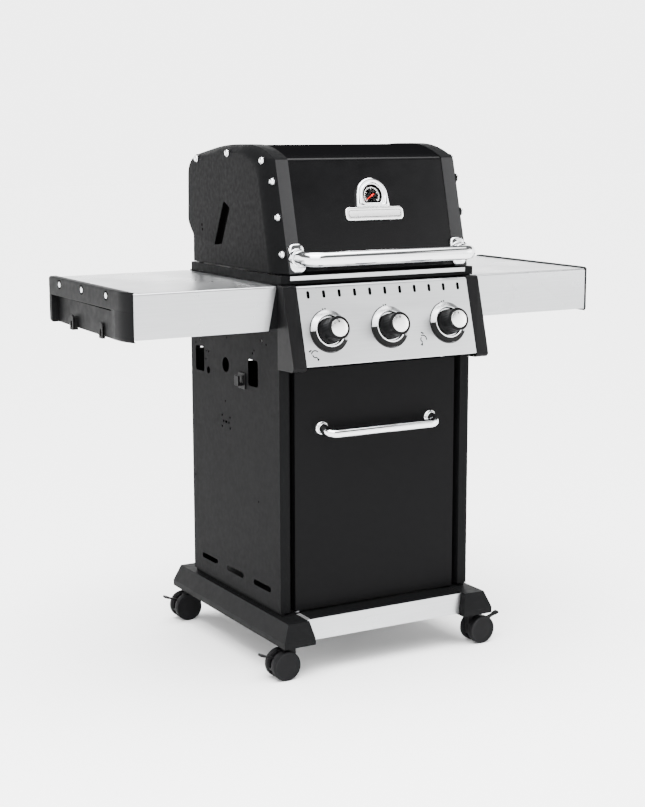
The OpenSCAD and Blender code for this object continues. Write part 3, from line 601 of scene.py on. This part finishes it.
def build_lid():
    bm = bmesh.new()
    draw_hood(bm)
    make("lid_hood_shell", bm, "lid", ENAMEL, ["lid_hood"], bevel=0.5)

    probe = bmesh.new()
    draw_end_cap(probe)
    surface = BVHTree.FromBMesh(probe)
    probe.free()
    nuts, seats = bmesh.new(), bmesh.new()
    for y, z in NUTS:
        hit, normal, _, _ = surface.ray_cast(Vector((400, y, z)), Vector((-1, 0, 0)))
        if normal.x < 0:
            normal = -normal
        lean = (normal + Vector((2.0, 0, 0))).normalized()
        spot = facing(hit, lean)
        dome_nut(nuts, on(spot, z=0.4), NUT_RADIUS, NUT_HEIGHT)
        lathe(seats, NUT_SEAT, spot, 32)
    mirrored(nuts)
    mirrored(seats)
    caps = each_side(draw_end_cap)
    # Painted light: the front strip of each end cap, below its top arch, takes the lighter copy of the
    # cast black
    for face in caps.faces:
        spot = face.calc_center_median()
        face.material_index = int(abs(spot.x) < CAP_CREASE_X - 1.4 and spot.y < -160 and spot.z < 1192)
    make("lid_end_castings", caps, "lid", [CAST_PAINT, CAST_LIT_STRIP], ["lid_end_caps"],
         wall=CAP_WALL, even=True)
    make("lid_side_recess_shade", each_side(draw_recess), "lid", PAINTED_SHADE)
    make("lid_nut_domes", nuts, "lid", CHROME, ["lid_cap_nuts"])
    make("lid_nut_seats", seats, "lid", KNOB_BLACK)


HANDLE_X = 219
HANDLE_Y = -308
HANDLE_Z = 974
HANDLE_R = 17
HANDLE_BEND = 30


def build_lid_handle():
    bm = bmesh.new()
    path = bent_path([((-HANDLE_X, -252, HANDLE_Z), 0), ((-HANDLE_X, HANDLE_Y, HANDLE_Z), HANDLE_BEND),
                      ((HANDLE_X, HANDLE_Y, HANDLE_Z), HANDLE_BEND), ((HANDLE_X, -252, HANDLE_Z), 0)], 14)
    sweep_tube(bm, path, HANDLE_R, 48)
    make("lid_handle_tube", bm, "lid", CHROME, ["lid_handle"])

    slope_v = (LID.inverted() @ Vector((HANDLE_X, -246, HANDLE_Z))).y

    def mount(bm):
        pad = rect(38, 66, 13, steps=8)
        layers = [(0, 2.1), (0, 6.0), (0.8, 8.0), (2.4, 9.4), (4.8, 10.2)]
        spot = on(LID, HANDLE_X, slope_v)
        rings = [[spot @ Vector((p.x, p.y, w)) for p in shifted(pad, inset, True)] for inset, w in layers]
        made = loft(bm, rings)
        bm.faces.new(made[0])
        bm.faces.new(made[-1])
        collar = Matrix.Translation((HANDLE_X, -238, HANDLE_Z)) @ Matrix.Rotation(math.pi / 2, 4, "X")
        lathe(bm, [(HANDLE_R + 0.3, 0), (HANDLE_R + 4.5, 0), (HANDLE_R + 4.2, 12), (HANDLE_R + 3, 16.5),
                   (HANDLE_R + 1.6, 17.6), (HANDLE_R + 0.3, 17.8)], collar, 48)

    make("lid_handle_bezels", each_side(mount), "lid", CHROME, ["lid_handle_mounts"])


DIAL_R = 26
DIAL_CHORD = -17
ARCH_R = 42
ARCH_LOW = -27
# The arch's surface from its outer edge (share 1) to the dial (share 0), as (share, height)
ARCH_PROFILE = [
    (1, 0.4), (1, 4.6), (0.97, 6.2), (0.9, 7.6), (0.78, 8.8), (0.64, 9.2), (0.5, 8.6), (0.4, 7.2),
    (0.34, 6.6), (0.28, 7.0), (0.2, 7.9), (0.1, 7.9), (0.03, 7.1), (0, 6.0), (0, 3.3)
]
NEEDLE_ANGLE = 211
NEEDLE_BLADE = ((-7, -1.5), (21, -0.45), (21, 0.45), (-7, 1.5))
NEEDLE_HUB = [(0, 2.2), (1, 2.2), (1, 3.4), (2.6, 3.4), (2.6, 4.9), (2.2, 5.2), (0, 5.2)]


def arch_ring(share, height, count=72):
    """A ring between the dial's edge (share 0) and the housing's outer edge (share 1)."""
    ring = []
    for k in range(count):
        a = math.tau * k / count
        c, s = math.cos(a), math.sin(a)
        inner = min(DIAL_R, DIAL_CHORD / s) if s < -1e-6 else DIAL_R
        outer = ARCH_R
        if s < -1e-6:
            outer = min(ARCH_R / max(abs(c) + s / 9, 1e-6), ARCH_LOW / s)
        r = inner + (outer - inner) * share
        ring.append(LID @ Vector((r * c, r * s, height)))
    return ring


def build_thermometer():
    bm = bmesh.new()
    loft(bm, [arch_ring(share, height) for share, height in ARCH_PROFILE])
    make("thermometer_arch", bm, "lid", CHROME, ["thermometer_housing"], angle=50)

    bm = bmesh.new()
    lens = [Vector(((LID.inverted() @ p).x, (LID.inverted() @ p).y)) for p in arch_ring(-0.005, 0)]
    plate(bm, lens, 6.2, 6.9, LID)
    make("dial_glass_plate", bm, "lid", GLASS, ["thermometer_lens"])

    bm = bmesh.new()
    first, last = math.radians(-38), math.radians(218)
    lathe(bm, [(19.3, 3.02), (20.1, 3.02), (20.1, 3.15), (19.3, 3.15)], LID, 48, first, last - first)
    ticks = 16
    for k in range(ticks + 1):
        angle = first + (last - first) * k / ticks
        length, width = (5.0, 1.0) if k % 4 == 0 else (3.0, 0.6)
        bar = rect(length, width, 0, (20.1 - length / 2, 0))
        plate(bm, bar, 3.02, 3.18, LID @ Matrix.Rotation(angle, 4, "Z"))
    make("dial_marks", bm, "lid", DIAL_WHITE)

    bm = bmesh.new()
    spot = LID @ Matrix.Rotation(math.radians(NEEDLE_ANGLE), 4, "Z")
    plate(bm, [Vector(p) for p in NEEDLE_BLADE], 4, 4.8, spot)
    lathe(bm, NEEDLE_HUB, LID, 32)
    make("needle_blade", bm, "needle", NEEDLE_RED, ["thermometer_needle"])

    bm = bmesh.new()
    badge = extent("badge_plate")
    width, middle = badge[1].x - badge[0].x, (badge[0].x + badge[1].x) / 2
    spot = on(LID, middle, -42)
    outline = rect(width, 31, 10, steps=8)
    layers = [(0, 0.2), (0, 3.6), (0.5, 4.6), (1.6, 5.3), (3.2, 5.6), (4.4, 5.5)]
    rings = [[spot @ Vector((p.x, p.y, w)) for p in shifted(outline, i, True)] for i, w in layers]
    made = loft(bm, rings)
    bm.faces.new(made[0])
    bm.faces.new(made[-1])
    make("badge_blank", bm, "lid", SATIN_METAL, ["badge_plate"])
    bm = bmesh.new()
    line = rect(width - 14, 17, 6, steps=6)
    plate(bm, line, 5.45, 5.62, spot, [list(reversed(shifted(line, 1.3, True)))])
    make("badge_line", bm, "lid", ENAMEL)


# ---- Control panel ----

PANEL_HALF = 231
PANEL_LOW = -79.5
PANEL_HIGH = 109.4
PANEL_SHEET = 1.5
PANEL_END_FOLD = 3.3
PANEL_END_ROLL = 10.4
SLOT_V = 85.2
SLOT_PITCH = 40.8
SLOT_SIZE = (8, 18, 3.9)
SLOT_SHADE_SIZE = (7.9, 17.9, 3.85)
SPINDLE_HOLE_R = 8
# The chrome ring round each knob, from its foot over its edge to the knob
BEZEL = [
    (9, 0.3), (48, 0.3), (48, 1.1), (47.4, 1.8), (37.4, 8.2), (36.6, 8.6), (34.9, 8.6), (34.2, 8.0),
    (33.4, 3.4), (32.5, 2.2), (9, 2.2)
]
# A dark band on each bezel's lower side, from 9 o'clock round to 4 o'clock: partly a printed band and
# partly a painted reflection of the dark floor in the chrome
BEZEL_BAND = [(48.3, 0.35), (48.3, 1.3), (47.6, 2.1), (37.9, 8.25), (37.6, 8.0)]
BEZEL_LINE = [(48.6, 0.02), (50.6, 0.02), (50.6, 0.4), (48.6, 0.4)]
# Outside this radius a bezel is plain metal, inside it is chrome
BEZEL_CHROME_R = 37.6


def build_control_panel():
    bm = bmesh.new()
    low, high = PANEL_LOW + PANEL_END_FOLD, PANEL_HIGH - PANEL_END_ROLL
    face = [Vector((-PANEL_HALF, low)), Vector((PANEL_HALF, low)), Vector((PANEL_HALF, high)),
            Vector((-PANEL_HALF, high))]
    slots = [(k * SLOT_PITCH, SLOT_V) for k in range(-5, 6)]
    holes = [rect(*SLOT_SIZE, slot) for slot in slots]
    holes += [circle(SPINDLE_HOLE_R, (x, 0)) for x in KNOB_XS.values()]
    plate(bm, face, -PANEL_SHEET, 0, PANEL, holes)
    fold = [(PANEL_LOW + 3, -14, 0), (PANEL_LOW, 0, 2.5), (low + 0.01, 0, 0)]
    roll = [(high - 0.01, 0, 0), (PANEL_HIGH, 0, 8), (PANEL_HIGH - 4, -18, 0)]
    across = PANEL @ Matrix(((0, 0, 1, 0), (1, 0, 0, 0), (0, 1, 0, 0), (0, 0, 0, 1)))
    for corners in (fold, roll):
        plate(bm, strip(rounded(corners, 8), PANEL_SHEET), -PANEL_HALF, PANEL_HALF, across)
    make("control_fascia", bm, "cart", STEEL_X, ["control_panel"], bevel=0.35)
    bm = bmesh.new()
    # Painted shade: a black plate inside each slot, where the slots show only the dark inside
    for slot in slots:
        plate(bm, rect(*SLOT_SHADE_SIZE, slot), -0.9, -0.1, PANEL)
    make("panel_slot_shade_fills", bm, "cart", PAINTED_SHADE)

    rings, bands, marks = bmesh.new(), bmesh.new(), bmesh.new()
    for x in KNOB_XS.values():
        spot = on(PANEL, x)
        lathe(rings, BEZEL, spot, 96)
        # the dark band: partly print, partly painted reflection
        lathe(bands, BEZEL_BAND, spot, 60, math.radians(178), math.radians(150))
        lathe(marks, BEZEL_LINE, spot, 60, math.radians(106), math.radians(226))
        for angle in (101, 94):
            a = math.radians(angle)
            plate(marks, circle(1.9, (51.5 * math.cos(a), 51.5 * math.sin(a)), 12), 0.02, 0.3, spot)
    draw_symbols(marks)
    to_panel = PANEL.inverted()
    for face in rings.faces:
        spot = to_panel @ face.calc_center_median()
        reach = min(math.hypot(spot.x - x, spot.y) for x in KNOB_XS.values())
        face.material_index = int(reach > BEZEL_CHROME_R)
    make("bezel_rings", rings, "cart", [CHROME, BEZEL_METAL], ["knob_bezels"])
    make("bezel_print_and_painted_reflection", bands, "cart", INK)
    make("panel_marks", marks, "cart", INK)


def draw_symbols(bm):
    """Generic signs: a spark by the left burner and a flame by the right one."""
    for x, y, turn in ((-206, -52, 0.5), (86, -36, -0.4)):
        spot = on(PANEL, x, y) @ Matrix.Rotation(turn, 4, "Z")
        for radius, start in ((8.5, 0.2), (5.0, 2.6)):
            lathe(bm, [(radius, 0.02), (radius + 2.4, 0.02), (radius + 2.4, 0.4), (radius, 0.4)],
                  spot, 20, start, 2.2)
        flame = rounded([(-3, -15, 0.8), (3, -15, 0.8), (0.6, -6, 0.4)], 3)
        plate(bm, flame, 0.02, 0.4, spot)
        plate(bm, rect(8, 3, 1.2, (-6, 14)), 0.02, 0.4, spot)


# Outlines of a knob's black body and its metal insert, as (radius, height over the panel)
KNOB_BODY = [
    (0, 6), (30.2, 6), (30.6, 6.6), (30.4, 9.5), (29.4, 11.6), (27.6, 13.4), (26.7, 17), (26.2, 24),
    (26.2, 32), (26.6, 40), (27, 45), (26.9, 47), (26.2, 48.2), (25, 48.8), (21.6, 49), (20.9, 48.4),
    (20.9, 46.5), (0, 46.5)
]
KNOB_INSERT = [(20.7, 46.6), (20.7, 48.3), (20.2, 48.9), (19, 49.2), (14, 49.8), (8, 50.1), (0, 50.2)]
FLUTES = 24
FLUTE_DEPTH = 0.55
FLUTE_FROM = 15
FLUTE_LENGTH = 31


def build_knobs():
    def flutes(angle, radius, height):
        if FLUTE_FROM < height < FLUTE_FROM + FLUTE_LENGTH and radius > 25:
            swell = math.sin(math.pi * (height - FLUTE_FROM) / FLUTE_LENGTH)
            return radius - FLUTE_DEPTH * (0.5 - 0.5 * math.cos(angle * FLUTES)) * swell
        return radius

    for side, x in KNOB_XS.items():
        spot = on(PANEL, x)
        bm = bmesh.new()
        lathe(bm, KNOB_BODY, spot, 192, wave=flutes)
        knob = f"knob_{side}"
        make(f"{knob}_grip", bm, knob, KNOB_BLACK, [knob], angle=40)
        bm = bmesh.new()
        lathe(bm, KNOB_INSERT, spot, 64)
        make(f"{knob}_insert", bm, knob, SATIN_METAL)
        bm = bmesh.new()
        plate(bm, rect(3, 5.4, 1.4, (0, 14.2)), 49.2, 50.1, spot)
        make(f"{knob}_pointer", bm, knob, INK)


# ---- Door ----

DOOR_BOSS = [
    (0, 0.1), (17, 0.1), (17, 2), (16.4, 3.6), (14.8, 5.2), (13.2, 6.2), (12.6, 8), (11.4, 9), (0, 9)
]
DOOR_BAR_R = 11.25


def build_door():
    dress("door_panel", SATIN, 1.2)
    boss = Vector((150, -232, 576))
    droop = math.radians(17)
    reach = 33
    bar = Vector((boss.x, boss.y - 6 - reach * math.cos(droop), boss.z - reach * math.sin(droop)))
    start = Vector((boss.x, boss.y - 3, boss.z + 1))
    bm = bmesh.new()
    path = bent_path([((-start.x, start.y, start.z), 0), ((-bar.x, bar.y, bar.z), 22),
                      (tuple(bar), 22), (tuple(start), 0)], 14)
    sweep_tube(bm, path, DOOR_BAR_R, 40)
    make("door_handle_bar", bm, "door", CHROME, ["door_handle"])

    def mount(bm):
        spot = Matrix.Translation(boss) @ Matrix.Rotation(math.pi / 2, 4, "X")
        lathe(bm, DOOR_BOSS, spot, 48)

    make("door_handle_bosses", each_side(mount), "door", CHROME, ["door_handle_mounts"])


# ---- Shelves ----

# A shelf's end cap: outer face, back opening towards the shelf, height and length
CAP_OUT = 633
CAP_IN = 616
CAP_TOP = 915.4
CAP_FOOT = 806
SHELF_CAP_FRONT = -236
SHELF_CAP_BACK = 246
# In front of this place the face curves in towards the shelf
CURVE_FROM = -188
CURVE_DEPTH = 13
FRONT_ROUND = 4
BACK_ROUND = 12
TOP_ROUND = 5
# The pocket fades in over its first stretch and is deepest at its back end
POCKET_FRONT = -172
POCKET_FULL = -140
POCKET_BACK = 222
POCKET_TOP = 870.8
SHELF_BOLT_YS = (166.6, 25, -122)
SHELF_BOLT_Z = 900
SHELF_HOOK_YS = (96.5, -84)


def between(value, low, high):
    return min(1, max(0, (value - low) / (high - low)))


def shelf_cap_section(y):
    """The shelf cap's section across its length, as (x, z) points, at one place along it."""
    outer, trim = CAP_OUT, 0.0
    if y < CURVE_FROM:
        outer -= CURVE_DEPTH * ((CURVE_FROM - y) / (CURVE_FROM - SHELF_CAP_FRONT)) ** 2.2
    if y < SHELF_CAP_FRONT + FRONT_ROUND:
        t = SHELF_CAP_FRONT + FRONT_ROUND - y
        outer -= FRONT_ROUND - math.sqrt(max(0, FRONT_ROUND ** 2 - t ** 2))
    if y > SHELF_CAP_BACK - BACK_ROUND:
        t = y - SHELF_CAP_BACK + BACK_ROUND
        trim = BACK_ROUND - math.sqrt(max(0, BACK_ROUND ** 2 - t * t))
        outer -= 0.6 * trim
    depth = 0.0
    if POCKET_FRONT < y < POCKET_BACK:
        depth = between(y, POCKET_FRONT, POCKET_FULL) * (4 + 12.5 * between(y, POCKET_FULL, POCKET_BACK))
    top, foot = CAP_TOP - trim, CAP_FOOT + trim
    points = [(CAP_IN, top)]
    points += [(outer - TOP_ROUND + TOP_ROUND * math.sin(a), top - TOP_ROUND + TOP_ROUND * math.cos(a))
               for a in [math.pi / 2 * k / 5 for k in range(6)]]
    points += [(outer, 874.5), (outer - 0.5, 872.4), (outer - min(1.5, depth), 871.2),
               (outer - depth, POCKET_TOP), (outer - depth, 840), (outer - depth, foot + 9),
               (outer - depth - 0.4, foot + 4)]
    points += [(outer - max(depth, 3) - 1, foot), (CAP_IN, foot)]
    return points


def pocket_floor(y, low):
    """How far out the pocket's floor lies, looked for above a given height."""
    return min(x for x, z in shelf_cap_section(y) if low < z < 870)


def build_shelf_caps():
    # places along the cap, closer together where its section changes
    stations = [SHELF_CAP_FRONT + v for v in (0, 0.6, 1.6, 2.8, 4, 8, 13, 18, 24, 30, 36, 42, 48)]
    stations += [-180, -172, -168, -160, -150, -140]
    stations += list(range(-130, 220, 20))
    stations += [221.5, 222.1, 224, 230, 234]
    turns = [math.pi / 2 * k / 8 for k in range(1, 9)]
    stations += [SHELF_CAP_BACK - BACK_ROUND + BACK_ROUND * math.sin(turn) for turn in turns]

    def cap(bm):
        rings = [[Vector((x, y, z)) for x, z in shelf_cap_section(y)] for y in stations]
        made = loft(bm, rings)
        bm.faces.new(made[0])
        bm.faces.new(made[-1])

    def hooks(bm):
        for y in SHELF_HOOK_YS:
            floor = pocket_floor(y, CAP_FOOT + 5)
            outline = rounded([(y - 11, 800.5, 4), (y + 11, 800.5, 4),
                               (y + 11, 836, 8), (y - 11, 836, 8)], 6)
            slot = rounded([(y - 4, 806, 2), (y + 4, 806, 2), (y + 4, 822, 3), (y - 4, 822, 3)], 4)
            prism(bm, outline, CAP_OUT - 4.5, CAP_OUT - 0.6, "x", [list(reversed(slot))])
            for side in (-11, 8):
                block(bm, (floor - 1, y + side, 801), (CAP_OUT - 2, y + side + 3, 830))

    def seats(bm):
        # Painted shade: a dark disc round each bolt's seat, showing as a dark ring round the dome
        for y in SHELF_BOLT_YS:
            spot = facing((CAP_OUT, y, SHELF_BOLT_Z), (1, 0, 0))
            lathe(bm, [(0, -1), (11, -1), (11, 0.15), (0, 0.15)], spot, 32)
        # the shadow line under the raised band
        rings = []
        for y in stations:
            if -150 < y < POCKET_BACK:
                floor = pocket_floor(y, CAP_FOOT + 12) + 0.3
                line = ((CAP_OUT - 0.9, y, 871.3), (floor, y, 870.4), (floor, y, 867.6))
                rings.append([Vector(p) for p in line])
        loft(bm, rings, closed=False)

    for side, flip in (("left", -1), ("right", 1)):
        bm = bmesh.new()
        cap(bm)
        bmesh.ops.scale(bm, vec=(flip, 1, 1), verts=bm.verts)
        make(f"shelf_cap_{side}_cover", bm, "cart", PLASTIC, [f"shelf_cap_{side}"],
             angle=40)
    make("shelf_cap_hooks", each_side(hooks), "cart", INK, bevel=0.8)
    make("shelf_cap_painted_shade", each_side(seats), "cart", PAINTED_SHADE)


SHELF_SHEET = 1.5
# Below the fold, a skirt's inner end leans away from the cabinet by this much
SHELF_FOLD = 8
SHELF_LEAN = 20


def build_shelves():
    shelf_low, shelf_high = extent("shelf_right")
    front, back, top = shelf_low.y, shelf_high.y, shelf_high.z
    inner, outer, bottom = shelf_low.x, shelf_high.x, shelf_low.z
    for side in ("left", "right"):
        bm = bmesh.new()
        corners = [(front, bottom, 0), (front, top, 6), (back, top, 6), (back, bottom, 0)]
        prism(bm, strip(rounded(corners, 8), SHELF_SHEET), inner, outer, "x")
        for v in bm.verts:
            drop = top - SHELF_FOLD - v.co.z
            if v.co.x < inner + 1 and drop > 0:
                v.co.x += SHELF_LEAN * drop / (top - SHELF_FOLD - bottom)
        if side == "left":
            bmesh.ops.scale(bm, vec=(-1, 1, 1), verts=bm.verts)
        make(f"shelf_{side}_sheet", bm, "cart", STEEL_X, [f"shelf_{side}"],
             bevel=0.3, angle=50)

    def bolts(bm):
        for y in SHELF_BOLT_YS:
            dome_nut(bm, facing((CAP_OUT - 3.2, y, SHELF_BOLT_Z), (1, 0, 0)), NUT_RADIUS, 5.1)

    make("shelf_bolt_domes", each_side(bolts), "cart", CHROME, ["shelf_bolts"])


# ---- Casters ----

# Outlines of one wheel and its tread, as (radius, distance from the caster's middle)
WHEEL_DISC = [
    (0, 9), (33.2, 9), (33.2, 25), (30.5, 25), (29.6, 24.4), (28.8, 24), (20, 24.4), (5, 24.6), (0, 24.6)
]
WHEEL_TREAD = [
    (33.1, 9.3), (34.4, 9.5), (35, 10.8), (35, 22.6), (34.3, 24.4), (33.1, 24.8), (33.1, 9.3)
]
WHEEL_AXLE = [(0, -10), (3.9, -10), (3.9, 10), (0, 10)]


def build_casters():
    for corner in ("fl", "fr", "bl", "br"):
        x, y, z = JOINTS["wheel_roll_" + corner]["pos_m"]
        centre = Vector((x, y - CABINET_Y, z)) / MM
        hub = Matrix.Translation(centre) @ Matrix.Rotation(math.pi / 2, 4, "X")
        discs, tyres = bmesh.new(), bmesh.new()
        for flip in (1, -1):
            spot = hub @ Matrix.Rotation(0 if flip > 0 else math.pi, 4, "X")
            lathe(discs, WHEEL_DISC, spot, 64)
            lathe(tyres, WHEEL_TREAD, spot, 64)
        lathe(discs, WHEEL_AXLE, hub, 24)
        body = f"wheels_{corner}"
        make(f"wheel_{corner}_discs", discs, body, NYLON, [f"caster_wheels_{corner}"])
        make(f"wheel_{corner}_tyres", tyres, body, TREAD)
        dress(f"caster_hood_{corner}", NYLON, 1.2)
        dress(f"brake_pedal_{corner}", NYLON, 0.8)


# ---- Parts that keep their CAD shape ----

# Places of small holes in the side panels, as (y, z)
SCREW_HOLES = [
    (208, 733), (-172, 771), (220, 392), (-128, 391), (43, 608), (44, 557), (32, 765), (-111, 750)
]
SCREW_HOLE_R = 2.6


def build_panel_holes():
    """Small screw holes in the side panels, drawn as flat discs of painted shade."""
    panel_x = extent("side_panel_right")[1].x

    def dots(bm):
        for place in SCREW_HOLES:
            prism(bm, circle(SCREW_HOLE_R, place, 14), panel_x - 0.4, panel_x + 0.12, "x")

    make("side_panel_screw_hole_shade", each_side(dots), "cart", PAINTED_SHADE)


def dress_frame():
    for side in ("left", "right"):
        dress(f"side_panel_{side}", TEXTURED, 0.5)
        dress(f"base_rail_{side}", PLASTIC, 3.0, 4, 20)
        dress(f"spindle_{side}", BRASS, 0.3)
    dress("spindle_middle", BRASS, 0.3)
    for node in ("back_panel", "front_rail", "base_shelf", "shelf_brackets"):
        dress(node, TEXTURED, 0.4)
    dress("base_trim", STEEL_X, 0.4)
    dress("firebox_trim", STEEL_X, 0.3)
    dress("firebox", CAST_PAINT, 1.2, 3)
    dress("control_caps", KNOB_BLACK, 1.0, 3, 25)
    dress("hose_hook", KNOB_BLACK, 0.8)
    dress("gas_manifold", PLATED, 0.4)
    dress("gas_valves", BRASS, 0.5)
    dress("burners", BURNER, 0.3)
    dress("igniter", CERAMIC, 0.4)
    dress("heat_tents", BURNER, 0.4)
    dress("cooking_grids", IRON, 1.6, 2)
    dress("warming_rack", CHROME)
    dress("hinge_pins", PLATED, 0.3)
    dress("grease_tray", PLATED, 0.5)
    dress("thermometer_dial", DIAL)


build_lid()
build_lid_handle()
build_thermometer()
build_control_panel()
build_knobs()
build_door()
build_shelves()
build_shelf_caps()
build_casters()
dress_frame()
build_panel_holes()

# ---- Stage ----


FLOOR_HALF = 30
PAPER_WHITE = 0.96
SKY_STRENGTH = 12.2
# Bright low down and overhead, as (height, share of full strength), with a darker ring between
# that gives the chrome its lines
SKY = [(0.0, 0.37), (0.34, 0.37), (0.41, 0.018), (0.78, 0.018), (0.86, 1), (1.0, 1)]
LIGHT_AIM = (0, 0, 0.6)


def build_stage():
    floor = bpy.data.meshes.new("floor")
    size = FLOOR_HALF
    corners = [(-size, -size, 0), (size, -size, 0), (size, size, 0), (-size, size, 0)]
    floor.from_pydata(corners, [], [(0, 1, 2, 3)])
    obj = bpy.data.objects.new("floor", floor)
    bpy.context.scene.collection.objects.link(obj)
    paper = Finish("paper", (PAPER_WHITE, PAPER_WHITE, PAPER_WHITE), 0.9, Specular_IOR_Level=0.0)
    floor.materials.append(paper.material)

    world = bpy.data.worlds.new("studio")
    bpy.context.scene.world = world
    world.use_nodes = True
    tree = world.node_tree
    background = tree.nodes["Background"]
    background.inputs["Strength"].default_value = SKY_STRENGTH
    split = tree.nodes.new("ShaderNodeSeparateXYZ")
    tree.links.new(tree.nodes.new("ShaderNodeTexCoord").outputs["Generated"], split.inputs[0])
    node = tree.nodes.new("ShaderNodeValToRGB")
    tree.links.new(split.outputs["Z"], node.inputs["Fac"])
    elements = node.color_ramp.elements
    while len(elements) < len(SKY):
        elements.new(0.5)
    for element, (place, value) in zip(elements, SKY):
        element.position = place
        element.color = (value, value, value, 1)
    tree.links.new(node.outputs["Color"], background.inputs["Color"])

    def area(name, place, size, power):
        light = bpy.data.lights.new(name, "AREA")
        light.shape = "RECTANGLE"
        light.size, light.size_y = size, size
        light.energy = power
        lamp = bpy.data.objects.new(name, light)
        lamp.location = place
        lamp.rotation_euler = (Vector(LIGHT_AIM) - Vector(place)).to_track_quat("-Z", "Y").to_euler()
        bpy.context.scene.collection.objects.link(lamp)

    area("key", (-1.5, -2.0, 3.4), 3.0, 260)
    area("fill", (2.6, -1.6, 1.8), 2.0, 40)


CAMERA_LENS = 70.79
CAMERA_SENSOR = 36
CAMERA_PLACE = Vector((-1.94496, -3.38131 + CABINET_Y, 1.26400))
CAMERA_TARGET = Vector((-0.0147, CABINET_Y, 0.5864))
CAMERA_ROLL = math.radians(-0.10)


def build_camera():
    camera = bpy.data.cameras.new("camera")
    camera.lens = CAMERA_LENS
    camera.sensor_width = CAMERA_SENSOR
    obj = bpy.data.objects.new("camera", camera)
    turn = (CAMERA_TARGET - CAMERA_PLACE).to_track_quat("-Z", "Y")
    obj.location = CAMERA_PLACE
    obj.rotation_mode = "QUATERNION"
    obj.rotation_quaternion = turn @ Matrix.Rotation(CAMERA_ROLL, 3, "Z").to_quaternion()
    bpy.context.scene.collection.objects.link(obj)
    bpy.context.scene.camera = obj


build_stage()
build_camera()
